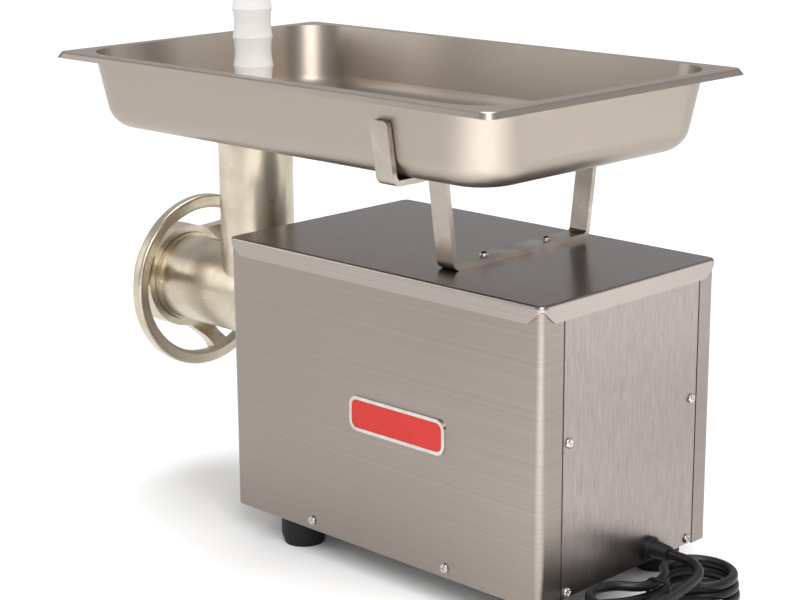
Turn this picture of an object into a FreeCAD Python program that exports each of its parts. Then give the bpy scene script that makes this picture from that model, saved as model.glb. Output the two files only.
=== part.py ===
import FreeCAD, Part
import math
import os
import re

import Sketcher
from FreeCAD import Placement, Rotation, Vector

# Countertop electric meat grinder with a size 12 head, a feed tray and a stomper.
# Millimetres. X across, the grinding head towards -Y, Z up from the surface it stands on.

SIZES = {
    # sheet metal body
    "body_length": 364.0,
    "body_width": 225.0,
    "body_height": 251.0,
    "gauge": 1.5,
    "corner_radius": 6.0,
    "lid_skirt": 15.5,
    "lid_gauge": 1.2,
    "lid_fit": 0.2,
    "lid_edge_radius": 2.5,
    "relief_reach": 14.0,
    "relief_left": 4.5,
    # rear panel and the two rails that carry it
    "rear_flange": 23.45,
    "window_shift": -2.85,
    "panel_gap": 1.6,
    "panel_foot_gap": 2.0,
    "panel_tuck": 5.0,
    "rail_width": 26.0,
    "rail_overlap": 14.0,
    "rail_gauge": 2.0,
    "rail_top_gap": 4.0,
    # base plate and feet
    "base_gauge": 3.0,
    "base_flange": 18.0,
    "base_fit": 0.5,
    "foot_height": 28.0,
    "foot_radius": 20.6,
    "foot_tip_radius": 18.0,
    "foot_chamfer": 9.0,
    "foot_recess_radius": 7.0,
    "foot_recess": 15.0,
    "foot_side_inset": 26.0,
    "foot_front_inset": 62.0,
    "foot_rear_inset": 34.5,
    # screws
    "screw_radius": 2.5,
    "screw_head_radius": 4.2,
    "screw_head": 2.6,
    "screw_bite": 6.0,
    "hole_fit": 0.1,
    "rear_screw_inset": 6.45,
    "rear_screw_mid": 133.4,
    "rear_screw_low": 6.2,
    "side_screw_height": 8.4,
    "side_screw_first": 101.1,
    "side_screw_second": 261.3,
    # tray bracket, one bent flat bar
    "bar_width": 19.0,
    "bar_thick": 4.8,
    "bend_radius": 4.0,
    "bracket_y": 228.0,
    "bracket_offset": -12.5,
    "bracket_half": 87.5,
    "arm_lean": 8.0,
    "tab_height": 53.3,
    "tab_round": 4.0,
    "tab_fit": 0.8,
    "bracket_screw_half": 40.5,
    "dome_radius": 4.3,
    "dome_height": 3.0,
    "washer_radius": 4.9,
    "washer_thick": 1.0,
    # blank nameplate
    "badge_length": 110.6,
    "badge_height": 31.0,
    "badge_radius": 9.0,
    "badge_thick": 1.8,
    "badge_border": 3.0,
    "badge_recess": 0.8,
    "badge_y": 207.0,
    "badge_z": 121.4,
    # feed tray
    "tray_length": 536.0,
    "tray_width": 328.0,
    "tray_depth": 69.0,
    "tray_gauge": 1.0,
    "tray_draft": 8.5,
    "rim_width": 13.8,
    "rim_lip": 5.3,
    "lip_lean": 29.0,
    "rim_bend": 1.5,
    "rim_corner": 12.0,
    "bowl_corner": 47.0,
    "bowl_floor_radius": 24.0,
    "hole_from_front": 90.2,
    "spout_depth": 12.0,
    "spout_fit": 0.3,
    "spout_wall": 1.5,
    # grinding head
    "axis_height": 190.0,
    "throat_reach": 90.8,
    "throat_radius": 35.5,
    "throat_wall": 4.5,
    "throat_top": 364.5,
    "barrel_radius": 42.0,
    "bore_radius": 34.5,
    "barrel_rear_wall": 10.0,
    "thread_radius": 44.5,
    "thread_length": 28.0,
    "hub_reach": 36.0,
    "neck_radius": 32.0,
    "neck_bore": 24.0,
    "fit": 0.05,
    "plate_radius": 35.0,
    "plate_fit": 0.3,
    "plate_thick": 10.0,
    "plate_stand": 2.0,
    "plate_hole_radius": 3.5,
    "plate_from_front": 219.5,
    "key_radius": 2.5,
    "knife_thick": 11.5,
    "knife_reach": 33.0,
    "knife_hub_radius": 13.0,
    "knife_blade_width": 13.0,
    "stack_gap": 0.5,
    "front_square": 12.0,
    "pilot_radius": 5.9,
    "auger_core": 16.0,
    "auger_radius": 33.3,
    "auger_pitch": 42.0,
    "flight_root": 10.0,
    "flight_tip": 5.0,
    "washer_ring_radius": 30.0,
    "washer_ring_thick": 3.0,
    "journal_radius": 14.0,
    "tail_square": 18.0,
    "tail_fit": 0.1,
    # ring nut with its handwheel
    "nut_lip": 4.0,
    "nut_lip_bore": 31.0,
    "nut_wall": 6.5,
    "nut_length": 28.0,
    "nut_fit": 0.35,
    "wheel_radius": 86.0,
    "rim_section": 13.0,
    "rim_axial": 12.5,
    "rim_round": 3.0,
    "wheel_from_front": 174.25,
    "spoke_root": 15.0,
    "spoke_waist": 8.5,
    "spoke_tip": 14.0,
    "spoke_thick": 13.0,
    "spoke_angle": 255.0,
    "spoke_count": 3.0,
    # stomper
    "piston_radius": 27.5,
    "piston_length": 95.0,
    "collar_radius": 33.0,
    "collar_thick": 6.0,
    "grip_radius": 18.8,
    "grip_sag": 1.6,
    "grip_pitch": 26.85,
    "grip_first": 20.25,
    "grip_count": 6.0,
    "grip_end": 16.0,
    # gear train
    "hub_radius": 42.0,
    "case_wall": 9.0,
    "case_front_wall": 9.0,
    "case_corner": 14.0,
    "gear_room": 3.0,
    "gear_gap": 2.0,
    "cover_thick": 14.0,
    "motor_height": 113.0,
    "output_teeth": 45.0,
    "pinion_teeth": 18.0,
    "final_module": 2.0,
    "final_width": 12.0,
    "wheel_teeth": 60.0,
    "motor_teeth": 18.0,
    "first_module": 1.25,
    "first_width": 10.0,
    "backlash": 0.3,
    "shaft_radius": 15.0,
    "shaft_hub_radius": 21.0,
    "shaft_hub_length": 30.0,
    "socket_depth": 26.0,
    "seal_radius": 25.0,
    "out_bearing_radius": 31.0,
    "out_bearing_width": 16.0,
    "rear_journal_radius": 12.5,
    "rear_bearing_radius": 23.5,
    "rear_bearing_width": 12.0,
    "mid_journal_radius": 8.5,
    "mid_bearing_radius": 17.5,
    "mid_bearing_width": 11.0,
    "bearing_boss": 6.0,
    "hub_screw_circle": 54.0,
    # motor
    "motor_radius": 70.0,
    "motor_wall": 4.0,
    "motor_length": 130.0,
    "bell_thick": 14.0,
    "stator_bore": 40.4,
    "stator_length": 70.0,
    "stator_fit": 0.1,
    "air_gap": 0.4,
    "winding_inner": 43.0,
    "winding_outer": 60.0,
    "winding_length": 18.0,
    "rotor_journal": 8.5,
    "rotor_bearing_radius": 20.0,
    "rotor_bearing_width": 12.0,
    "rotor_middle": 12.0,
    "pinion_seat": 7.0,
    "fan_radius": 55.0,
    "fan_hub": 16.0,
    "fan_depth": 14.0,
    "fan_plate": 3.0,
    "fan_gap": 4.0,
    "fan_blades": 9.0,
    "fan_blade": 3.0,
    "motor_screw_circle": 52.0,
    "cradle_width": 90.0,
    "cradle_length": 80.0,
    "cradle_rise": 34.0,
    # electrics
    "capacitor_radius": 20.0,
    "capacitor_length": 88.0,
    "capacitor_side_gap": 2.0,
    "capacitor_gap": 20.0,
    "clip_wall": 1.5,
    "clip_width": 14.0,
    "block_length": 50.0,
    "block_width": 22.0,
    "block_height": 18.0,
    "block_side_gap": 14.5,
    "block_gap": 10.5,
    "block_poles": 4.0,
    "switch_y": 70.0,
    "switch_z": 150.0,
    "switch_width": 24.0,
    "switch_height": 34.0,
    "switch_depth": 26.0,
    "switch_wall": 2.0,
    "bezel_border": 4.0,
    "bezel_thick": 2.0,
    "rocker_fit": 0.4,
    "rocker_tilt": 9.0,
    "rocker_rise": 3.0,
    "rocker_pin": 1.6,
    "rocker_pin_depth": 6.0,
    # head lock knob
    "stud_radius": 5.0,
    "knob_radius": 15.0,
    "knob_length": 18.0,
    "knob_stand": 4.0,
    "knob_lobes": 6.0,
    "knob_groove": 4.5,
    # mains lead, hank and plug
    "cord_radius": 4.2,
    "cord_pitch": 9.3,
    "gland_x": -30.0,
    "gland_z": 14.0,
    "gland_radius": 10.0,
    "gland_flange": 6.0,
    "gland_boot": 16.0,
    "gland_shank": 7.0,
    "gland_nut": 5.0,
    "hank_x": 4.0,
    "hank_clear": 4.0,
    "fold_radius": 29.0,
    "near_reach": 73.0,
    "far_reach": 84.0,
    "fan_near": 24.0,
    "fan_far": 2.0,
    "waist_half": 6.0,
    "tie_width": 4.0,
    "tie_thick": 1.2,
    "tie_fit": 0.4,
    "plug_half_width": 13.0,
    "plug_half_height": 11.0,
    "plug_length": 36.0,
    "plug_boot": 26.0,
    "plug_boot_radius": 8.0,
    "plug_round": 5.0,
    "plug_clear": 1.0,
    "tail_run": 46.0,
    "blade_length": 17.5,
    "blade_width": 6.3,
    "blade_thick": 1.5,
    "blade_half_pitch": 6.35,
    "earth_radius": 2.4,
    "earth_drop": 4.5,
}

# Places that follow from the sizes above, each written once as a formula.
DERIVED = {
    "head_reach": "plate_from_front + nut_lip",
    "front_y": "(head_reach - body_length - screw_head)/2",
    "rear_y": "front_y + body_length",
    "half_width": "body_width/2",
    "floor_z": "foot_height + base_gauge",
    "lid_top": "foot_height + body_height",
    "wrap_top": "lid_top - lid_gauge",
    "skirt_z": "lid_top - lid_skirt",
    "side_room": "half_width - gauge - base_gauge",
    "window_half": "half_width - rear_flange",
    "panel_half": "window_half - panel_gap",
    "panel_z": "foot_height + panel_foot_gap",
    "rail_inner": "panel_half - rail_overlap",
    "throat_y": "front_y - throat_reach",
    "throat_bore": "throat_radius - throat_wall",
    "tray_z": "throat_top",
    "tray_top": "tray_z + tray_depth",
    "tray_y": "throat_y - hole_from_front",
    "lip_spread": "rim_lip*tan(lip_lean)",
    "bowl_half": "tray_width/2 - rim_width",
    "bowl_half_length": "tray_length/2 - rim_width",
    "bowl_taper": "tray_depth*tan(tray_draft)",
    "bowl_foot_half": "bowl_half - bowl_taper",
    "spout_radius": "throat_bore - spout_fit",
    "spout_bore": "spout_radius - spout_wall",
    "shelf_z": "tray_z - bar_thick",
    "tab_foot": "bowl_foot_half + tab_fit - bar_thick*tan(tray_draft) + bar_thick/cos(tray_draft)",
    "barrel_rear": "front_y - hub_reach",
    "plate_front": "front_y - plate_from_front",
    "plate_rear": "plate_front + plate_thick",
    "barrel_front": "plate_front + plate_stand",
    "seat_radius": "plate_radius + plate_fit",
    "knife_front": "plate_rear + stack_gap",
    "knife_rear": "knife_front + knife_thick",
    "washer_rear": "barrel_rear - barrel_rear_wall",
    "washer_front": "washer_rear - washer_ring_thick",
    "nut_bore": "thread_radius + nut_fit",
    "nut_radius": "nut_bore + nut_wall",
    "nut_front": "plate_front - nut_lip",
    "nut_rear": "nut_front + nut_length",
    "wheel_y": "front_y - wheel_from_front",
    "case_y": "front_y + gauge",
    "seat_y": "case_y + case_front_wall",
    "final_y": "seat_y + out_bearing_width + gear_gap",
    "first_y": "final_y + final_width + gear_gap",
    "cover_y": "first_y + first_width + gear_gap",
    "motor_y": "cover_y + cover_thick",
    "frame_y": "motor_y + bell_thick",
    "rear_bell_y": "frame_y + motor_length",
    "fan_y": "rear_bell_y + bell_thick + fan_gap",
    "stator_y": "frame_y + (motor_length - stator_length)/2",
    "shaft_front": "case_y - shaft_hub_length",
    "final_centres": "(output_teeth + pinion_teeth)*final_module/2",
    "first_centres": "(wheel_teeth + motor_teeth)*first_module/2",
    "axis_drop": "axis_height - motor_height",
    "mid_drop": "(final_centres^2 - first_centres^2 + axis_drop^2)/(2*axis_drop)",
    "mid_x": "sqrt(final_centres^2 - mid_drop^2)",
    "mid_z": "axis_height - mid_drop",
    "output_tip": "output_teeth*final_module/2 + final_module",
    "wheel_tip": "wheel_teeth*first_module/2 + first_module",
    "motor_tip": "motor_teeth*first_module/2 + first_module",
    "case_margin": "gear_room + case_wall",
    "case_left": "-(output_tip + case_margin)",
    "case_right": "mid_x + wheel_tip + case_margin",
    "case_top": "axis_height + output_tip + case_margin",
    "case_low": "motor_height - motor_tip - case_margin",
    "mid_bearing_y": "seat_y + out_bearing_width - mid_bearing_width",
    "block_y": "rear_y - foot_rear_inset - screw_radius - block_gap - block_length/2",
    "block_x": "-(side_room - block_side_gap - block_width/2)",
    "capacitor_end": "block_y - block_length/2 - capacitor_gap",
    "capacitor_x": "-(side_room - capacitor_side_gap - clip_wall - capacitor_radius)",
    "switch_side": "-half_width",
    "rocker_half": "switch_height/2 - rocker_fit",
    "knob_y": "front_y - hub_reach/2",
    "knob_x": "-(hub_radius + knob_stand)",
    "gland_height": "foot_height + gland_z",
    "gland_tip": "rear_y + gland_flange + gland_boot",
    "hank_y": "rear_y + hank_clear + cord_radius + fold_radius",
    "cord_floor": "cord_radius + hole_fit",
    "plug_y": "hank_y + fold_radius + cord_radius + plug_clear + plug_half_width",
    "plug_z": "plug_half_height + hole_fit",
}

doc = FreeCAD.newDocument("meat_grinder")
sheet = doc.addObject("Spreadsheet::Sheet", "Sizes")
for row, (alias, size) in enumerate(SIZES.items(), start=1):
    sheet.set(f"A{row}", alias)
    sheet.set(f"B{row}", str(size))
    sheet.setAlias(f"B{row}", alias)
doc.recompute()

parts = []

UP = Rotation()
TURNS = {
    "Z": UP,
    "Y": Rotation(Vector(1, 0, 0), -90),
    "-Y": Rotation(Vector(1, 0, 0), 90),
    "X": Rotation(Vector(0, 1, 0), 90),
    "-X": Rotation(Vector(0, 1, 0), -90),
}


# Expressions on the sheet
def formula(text):
    """The expression with every size and derived name written out for the sheet."""
    def written_out(match):
        word = match.group(0)
        if word in DERIVED:
            return "(" + formula(DERIVED[word]) + ")"
        return "Sizes." + word if word in SIZES else word
    return re.sub(r"[a-z][a-z0-9_]*", written_out, str(text))


def value(text):
    return float(sheet.evalExpression(formula(text)))


def count(text):
    return int(round(value(text)))


def bind(thing, **sizes):
    for name, text in sizes.items():
        thing.setExpression(name, formula(text))
    return thing


def place(thing, x, y, z, turn=UP):
    thing.Placement = Placement(Vector(0, 0, 0), turn)
    for axis, text in zip("xyz", (x, y, z)):
        if str(text) != "0":
            thing.setExpression(f"Placement.Base.{axis}", formula(text))
    return thing


def keep(thing, label):
    """Names a finished sub-part and lists it for writing."""
    thing.Label = label
    parts.append(thing)
    return thing


# Solids that the sub-parts are made of
def box(x, y, z, length, width, height):
    solid = bind(doc.addObject("Part::Box", "block"), Length=length, Width=width, Height=height)
    return place(solid, x, y, z)


def slab(x, y, z, length, width, height):
    """A box centred on x and y, standing on z."""
    return box(f"{x} - ({length})/2", f"{y} - ({width})/2", z, length, width, height)


def rod(x, y, z, radius, length, along="Z"):
    solid = bind(doc.addObject("Part::Cylinder", "rod"), Radius=radius, Height=length)
    return place(solid, x, y, z, TURNS[along])


def cone(x, y, z, first, second, length, along="Z"):
    solid = bind(doc.addObject("Part::Cone", "cone"), Radius1=first, Radius2=second, Height=length)
    return place(solid, x, y, z, TURNS[along])


def fuse(*solids):
    joined = doc.addObject("Part::MultiFuse", "fusion")
    joined.Shapes = list(solids)
    return joined


def group(*solids):
    """Separate solids that share one node."""
    several = doc.addObject("Part::Compound", "several")
    several.Links = list(solids)
    return several


def cut(base, *tools):
    """The base less its tools; a tool that takes nothing away is an error."""
    result = doc.addObject("Part::Cut", "cut")
    result.Base = base
    result.Tool = tools[0] if len(tools) == 1 else group(*tools)
    result.recompute(True)
    if result.Shape.Volume > base.Shape.Volume - 1e-3:
        raise RuntimeError(f"a cut in {base.Name} takes nothing away")
    return result


def round_edges(base, radius, pick):
    """Fillets the edges that pick chooses, with one radius."""
    base.recompute(True)
    size = value(radius)
    fillet = doc.addObject("Part::Fillet", "fillet")
    fillet.Base = base
    chosen = [n for n, edge in enumerate(base.Shape.Edges, start=1) if pick(edge)]
    if not chosen:
        raise RuntimeError(f"no edge to round on {base.Name}")
    fillet.Edges = [(n, size, size) for n in chosen]
    return fillet


def runs_along(edge, direction):
    if edge.Curve.TypeId != "Part::GeomLine":
        return False
    return abs(edge.tangentAt(edge.FirstParameter).dot(direction)) > 0.999


def upright(edge):
    return runs_along(edge, Vector(0, 0, 1))


def at_height(text):
    """Picks the edges that lie flat at one height."""
    level = value(text)
    def flat_there(edge):
        box_of = edge.BoundBox
        return abs(box_of.ZMin - level) < 1e-4 and abs(box_of.ZMax - level) < 1e-4
    return flat_there


def rounded_slab(x, y, z, length, width, height, radius):
    return round_edges(slab(x, y, z, length, width, height), radius, upright)


def origin_plane(body, role):
    return next(item for item in body.Origin.OriginFeatures if item.Role == role)


def outline(body, role, corners):
    """A closed sketch. A corner is (across, up), or (across, up, radius, side) at an arc's end."""
    sketch = body.newObject("Sketcher::SketchObject", "outline")
    sketch.AttachmentSupport = [(origin_plane(body, role), "")]
    sketch.MapMode = "FlatFace"
    points = [Vector(value(corner[0]), value(corner[1]), 0) for corner in corners]
    ends = []
    for index, corner in enumerate(corners):
        start = points[index - 1]
        stop = points[index]
        if len(corner) == 2:
            edge = sketch.addGeometry(Part.LineSegment(start, stop), False)
            ends.append((edge, 1, 2))
            continue
        edge = sketch.addGeometry(arc_through(start, stop, value(corner[2]), corner[3]), False)
        forward = sketch.getPoint(edge, 1).distanceToPoint(start) < 1e-6
        ends.append((edge, 1, 2) if forward else (edge, 2, 1))
        radius = sketch.addConstraint(Sketcher.Constraint("Radius", edge, value(corner[2])))
        sketch.setExpression(f"Constraints[{radius}]", formula(corner[2]))
    for index, corner in enumerate(corners):
        edge, first, last = ends[index]
        after, after_first, _ = ends[(index + 1) % len(corners)]
        sketch.addConstraint(Sketcher.Constraint("Coincident", edge, last, after, after_first))
        pin_down(sketch, edge, last, "DistanceX", -2, corner[0])
        pin_down(sketch, edge, last, "DistanceY", -1, corner[1])
    return sketch


def arc_through(start, stop, radius, side):
    """The shorter arc between two points, bulging to the left (1) or right (-1) of the way."""
    half = (stop - start) * 0.5
    middle = start + half
    rise = radius - math.sqrt(radius * radius - half.Length * half.Length)
    left = Vector(-half.y, half.x, 0).normalize()
    return Part.Arc(start, middle + left * (rise * side), stop)


def pin_down(sketch, edge, end, kind, axis, text):
    """Holds one coordinate of a sketch point: on an axis, or at a distance from it."""
    if str(text) == "0":
        sketch.addConstraint(Sketcher.Constraint("PointOnObject", edge, end, axis))
        return
    held = sketch.addConstraint(Sketcher.Constraint(kind, -1, 1, edge, end, value(text)))
    sketch.setExpression(f"Constraints[{held}]", formula(text))


def turned(x, y, z, along, corners):
    """A turned piece: the outline (radius, distance along) spun about its axis."""
    body = doc.addObject("PartDesign::Body", "turned")
    sketch = outline(body, "XZ_Plane", corners)
    spin = body.newObject("PartDesign::Revolution", "spin")
    spin.Profile = sketch
    spin.ReferenceAxis = (sketch, ["V_Axis"])
    spin.Angle = 360
    return place(body, x, y, z, TURNS[along])


def tube(x, y, z, along, inner, outer, length):
    return turned(x, y, z, along, [
        (inner, "0"), (outer, "0"), (outer, length), (inner, length)])


def about_y(angle):
    """A turn that takes +X towards +Z."""
    return Rotation(Vector(0, -1, 0), angle)


def extruded(x, y, z, length, corners, turn=UP):
    """An outline drawn flat and padded upwards, then turned into place."""
    body = doc.addObject("PartDesign::Body", "extruded")
    sketch = outline(body, "XY_Plane", corners)
    pad = body.newObject("PartDesign::Pad", "pad")
    pad.Profile = sketch
    bind(pad, Length=length)
    return place(body, x, y, z, turn)


def pan_screw(x, y, z, along, bite):
    """A pan head screw: its head starts at the point and its shank runs on along the axis."""
    return turned(x, y, z, along, [
        ("0", "-screw_head"), ("screw_head_radius*0.6", "-screw_head"),
        ("screw_head_radius", "-screw_head*0.45"), ("screw_head_radius", "0"),
        ("screw_radius", "0"), ("screw_radius", bite), ("0", bite)])


# Sheet metal body
SIDES = ("1", "-1")


def rear_screw_places(sides=SIDES):
    across = "(panel_half - rear_screw_inset)"
    heights = ("foot_height + rear_screw_mid", "foot_height + rear_screw_low")
    return [(f"window_shift + {side}*{across}", height) for side in sides for height in heights]


def side_screw_places():
    return [(side, f"front_y + {reach}") for side in SIDES
            for reach in ("side_screw_first", "side_screw_second")]


def bracket_screw_places():
    return [f"bracket_offset + {side}*bracket_screw_half" for side in SIDES]


def hub_screw_places():
    """Four screws round the hub, between the quarters."""
    turn = "hub_screw_circle*cos(45)"
    return [(f"{a}*{turn}", f"axis_height + {b}*{turn}") for a in SIDES for b in SIDES]


def make_wrap():
    middle = "(front_y + rear_y)/2"
    tall = "wrap_top - foot_height"
    outer = rounded_slab("0", middle, "foot_height", "body_width", "body_length", tall, "corner_radius")
    inner = rounded_slab(
        "0", middle, "foot_height", "body_width - 2*gauge", "body_length - 2*gauge", tall,
        "corner_radius - gauge")
    holes = [slab("window_shift", "rear_y", "foot_height", "2*window_half", "4*gauge", tall)]
    holes.append(rod("0", "front_y - gauge", "axis_height", "hub_radius + hole_fit", "4*gauge", "Y"))
    hole = "screw_radius + hole_fit"
    for x, z in hub_screw_places():
        holes.append(rod(x, "front_y - gauge", z, hole, "4*gauge", "Y"))
    for side, y in side_screw_places():
        start = f"{side}*half_width - 2*gauge"
        holes.append(rod(start, y, "foot_height + side_screw_height", hole, "4*gauge", "X"))
    holes.append(slab(
        "switch_side", "front_y + switch_y", "foot_height + switch_z - switch_height/2 - switch_wall",
        "4*gauge", "switch_width + 2*switch_wall", "switch_height + 2*switch_wall"))
    keep(cut(cut(outer, inner), *holes), "housing_wrap")


def make_lid():
    middle = "(front_y + rear_y)/2"
    spread = "2*(lid_fit + lid_gauge)"
    shell = rounded_slab(
        "0", middle, "skirt_z", f"body_width + {spread}", f"body_length + {spread}", "lid_skirt",
        "corner_radius + lid_fit + lid_gauge")
    shell = round_edges(shell, "lid_edge_radius", at_height("lid_top"))
    inside = rounded_slab(
        "0", middle, "skirt_z", "body_width + 2*lid_fit", "body_length + 2*lid_fit",
        "lid_skirt - lid_gauge", "corner_radius + lid_fit")
    tools = [inside]
    for side in SIDES:
        for end in ("front_y", "rear_y"):
            tools.append(cone(f"{side}*half_width", end, "skirt_z", "relief_reach", "lid_gauge",
                              "lid_skirt - relief_left"))
    for x in bracket_screw_places():
        tools.append(rod(x, "front_y + bracket_y", "skirt_z", "screw_radius + hole_fit", "2*lid_skirt"))
    keep(cut(shell, *tools), "lid")


def make_rear_panel():
    tall = "skirt_z + panel_tuck - panel_z"
    plate = box("window_shift - panel_half", "rear_y - gauge", "panel_z", "2*panel_half", "gauge", tall)
    tools = [rod(x, "rear_y - 2*gauge", z, "screw_radius + hole_fit", "4*gauge", "Y")
             for x, z in rear_screw_places()]
    tools.append(rod("gland_x", "rear_y - 2*gauge", "gland_height", "gland_shank + fit", "4*gauge", "Y"))
    keep(cut(plate, *tools), "rear_panel")
    rails = []
    for side in SIDES:
        rail = slab(f"window_shift + {side}*(rail_inner + rail_width/2)", "rear_y - gauge - rail_gauge/2",
                    "floor_z", "rail_width", "rail_gauge", "wrap_top - rail_top_gap - floor_z")
        tools = [rod(x, "rear_y - gauge - 2*rail_gauge", z, "screw_radius + hole_fit", "4*rail_gauge", "Y")
                 for x, z in rear_screw_places((side,))]
        rails.append(cut(rail, *tools))
    keep(group(*rails), "rear_rails")
    keep(group(*[pan_screw(x, "rear_y", z, "-Y", "screw_bite") for x, z in rear_screw_places()]),
         "rear_panel_screws")


def foot_places():
    return [(f"{side}*(half_width - foot_side_inset)", y) for side in SIDES
            for y in ("front_y + foot_front_inset", "rear_y - foot_rear_inset")]


def make_base():
    half = "half_width - gauge"
    long = "body_length - 2*gauge - 2*base_fit"
    section = [
        (f"-({half})", "0"), (half, "0"), (half, "base_flange"), (f"{half} - base_gauge", "base_flange"),
        (f"{half} - base_gauge", "base_gauge"), (f"base_gauge - ({half})", "base_gauge"),
        (f"base_gauge - ({half})", "base_flange"), (f"-({half})", "base_flange")]
    plate = extruded("0", "rear_y - gauge - base_fit", "foot_height", long, section, TURNS["-Y"])
    plate = cut(plate, *base_clearances())
    hole = "screw_radius + hole_fit"
    tools = [rod(x, y, "foot_height - base_gauge", hole, "4*base_gauge") for x, y in foot_places()]
    for side, y in side_screw_places():
        start = f"{side}*half_width - 4*base_gauge"
        tools.append(rod(start, y, "foot_height + side_screw_height", hole, "8*base_gauge", "X"))
    keep(cut(plate, *tools), "base_plate")
    feet = []
    screws = []
    for x, y in foot_places():
        foot = turned(x, y, "0", "Z", [
            (hole, "foot_recess"), ("foot_recess_radius", "foot_recess"), ("foot_recess_radius", "0"),
            ("foot_tip_radius", "0"), ("foot_radius", "foot_chamfer"), ("foot_radius", "foot_height"),
            (hole, "foot_height")])
        feet.append(foot)
        screws.append(pan_screw(x, y, "foot_recess", "Z", "floor_z - foot_recess + screw_radius"))
    keep(group(*feet), "rubber_feet")
    keep(group(*screws), "foot_screws")
    bite = "gauge + base_gauge"
    keep(group(*[
        pan_screw(f"{side}*half_width", y, "foot_height + side_screw_height",
                  "-X" if side == "1" else "X", bite)
        for side, y in side_screw_places()]), "side_screws")


def base_clearances():
    """Corner notches that keep the square plate out of the rounded corners of the wrap."""
    notch = "2*corner_radius"
    return [slab(f"{side}*(half_width - gauge)", end, "foot_height - base_gauge", notch, notch,
                 "2*base_flange + base_gauge")
            for side in SIDES for end in ("front_y + gauge", "rear_y - gauge")]


# Tray bracket
def make_bracket():
    lean = "tan(arm_lean)"
    rise = "(shelf_z - lid_top)"
    arm = "bar_thick/cos(arm_lean)"
    tab_top = "shelf_z + tab_height"
    tab_lean = "tan(tray_draft)"
    tab = "bar_thick/cos(tray_draft)"
    def half(side):
        """The bar's outline on one side, as its outer points going up and its inner points coming back."""
        arm_foot = f"({side}*bracket_offset + bracket_half)"
        outer = [
            (arm_foot, "lid_top"), (f"{arm_foot} + {lean}*{rise}", "shelf_z"), ("tab_foot", "shelf_z"),
            (f"tab_foot + {tab_lean}*tab_height", tab_top)]
        inner = [
            (f"tab_foot + {tab_lean}*tab_height - {tab}", tab_top),
            (f"tab_foot - {tab} + {tab_lean}*bar_thick", "tray_z"),
            (f"{arm_foot} + {lean}*({rise} + bar_thick) - {arm}", "tray_z"),
            (f"{arm_foot} + {lean}*bar_thick - {arm}", "lid_top + bar_thick")]
        return [(f"{side}*({x})", z) for x, z in outer], [(f"{side}*({x})", z) for x, z in inner]
    right_out, right_in = half("1")
    left_out, left_in = half("-1")
    corners = right_out + right_in + left_in[::-1] + left_out[::-1]
    bar = extruded("0", "front_y + bracket_y + bar_width/2", "0", "bar_width", corners, TURNS["-Y"])
    outside = [right_out[0], right_in[2], right_out[2], left_out[0], left_in[2], left_out[2]]
    inside = [right_in[3], right_out[1], right_in[1], left_in[3], left_out[1], left_in[1]]
    bar = round_edges(bar, "bend_radius + bar_thick", corner_picker(outside))
    bar = round_edges(bar, "bend_radius", corner_picker(inside))
    on_top = at_height(tab_top)
    bar = round_edges(bar, "tab_round", lambda edge: runs_along(edge, Vector(1, 0, 0)) and on_top(edge))
    holes = [rod(x, "front_y + bracket_y", "lid_top - bar_thick", "screw_radius + hole_fit", "4*bar_thick")
             for x in bracket_screw_places()]
    keep(cut(bar, *holes), "tray_bracket")
    keep(group(*[dome_screw(x, "front_y + bracket_y", "lid_top + bar_thick")
                 for x in bracket_screw_places()]), "bracket_screws")


def corner_picker(corners):
    """Picks the edges along Y that stand on the given corners of an outline."""
    spots = [(value(x), value(z)) for x, z in corners]
    def on_corner(edge):
        if not runs_along(edge, Vector(0, 1, 0)):
            return False
        start = edge.Vertexes[0].Point
        return any(math.hypot(start.x - x, start.z - z) < 1e-3 for x, z in spots)
    return on_corner


def dome_screw(x, y, z):
    """A dome head screw with a washer under its head."""
    curve = "(dome_radius^2 + dome_height^2)/(2*dome_height)"
    return turned(x, y, z, "Z", [
        ("0", "-(bar_thick + lid_gauge + screw_bite)"),
        ("screw_radius", "-(bar_thick + lid_gauge + screw_bite)"),
        ("screw_radius", "0"), ("washer_radius", "0"), ("washer_radius", "washer_thick"),
        ("dome_radius", "washer_thick"), ("0", "washer_thick + dome_height", curve, -1)])


def make_badge():
    """A blank nameplate: a bright frame round a plain coloured field."""
    def plate(x, thick, inset):
        long = f"badge_length - 2*{inset}"
        tall = f"badge_height - 2*{inset}"
        block = box(x, f"front_y + badge_y - ({long})/2", f"foot_height + badge_z - ({tall})/2",
                    thick, long, tall)
        return round_edges(block, f"badge_radius - {inset}", lambda edge: runs_along(edge, Vector(1, 0, 0)))
    face = "half_width + badge_thick - badge_recess"
    frame = plate("half_width", "badge_thick", "0")
    keep(cut(frame, plate(face, "2*badge_recess", "badge_border")), "badge_frame")
    keep(plate(face, "badge_recess/2", "badge_border"), "badge_inlay")


# Feed tray
def tapered(across, along, spread, top, depth, radius):
    """A block under the given top whose four sides lean out by the spread, with rounded corners."""
    wedge = doc.addObject("Part::Wedge", "wedge")
    bind(wedge, Ymin="0", Ymax=depth,
         Xmin=f"-({across})", Xmax=across, X2min=f"-({across} + {spread})", X2max=f"{across} + {spread}",
         Zmin=f"-({along})", Zmax=along, Z2min=f"-({along} + {spread})", Z2max=f"{along} + {spread}")
    place(wedge, "0", "tray_y + tray_length/2", top, TURNS["Y"])
    return round_edges(wedge, radius, slopes_down)


def slopes_down(edge):
    ends = [vertex.Point for vertex in edge.Vertexes]
    return len(ends) == 2 and abs(ends[0].z - ends[1].z) > 1.0


def bowl(inset):
    """The tapered bowl with rounded corners and floor, drawn in by the inset on every side."""
    block = tapered(f"bowl_half - {inset}", f"bowl_half_length - {inset}", "(-bowl_taper)", "tray_top",
                    f"tray_depth - {inset}", f"bowl_corner - {inset}")
    return round_edges(block, f"bowl_floor_radius - {inset}", at_height(f"tray_z + {inset}"))


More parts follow.
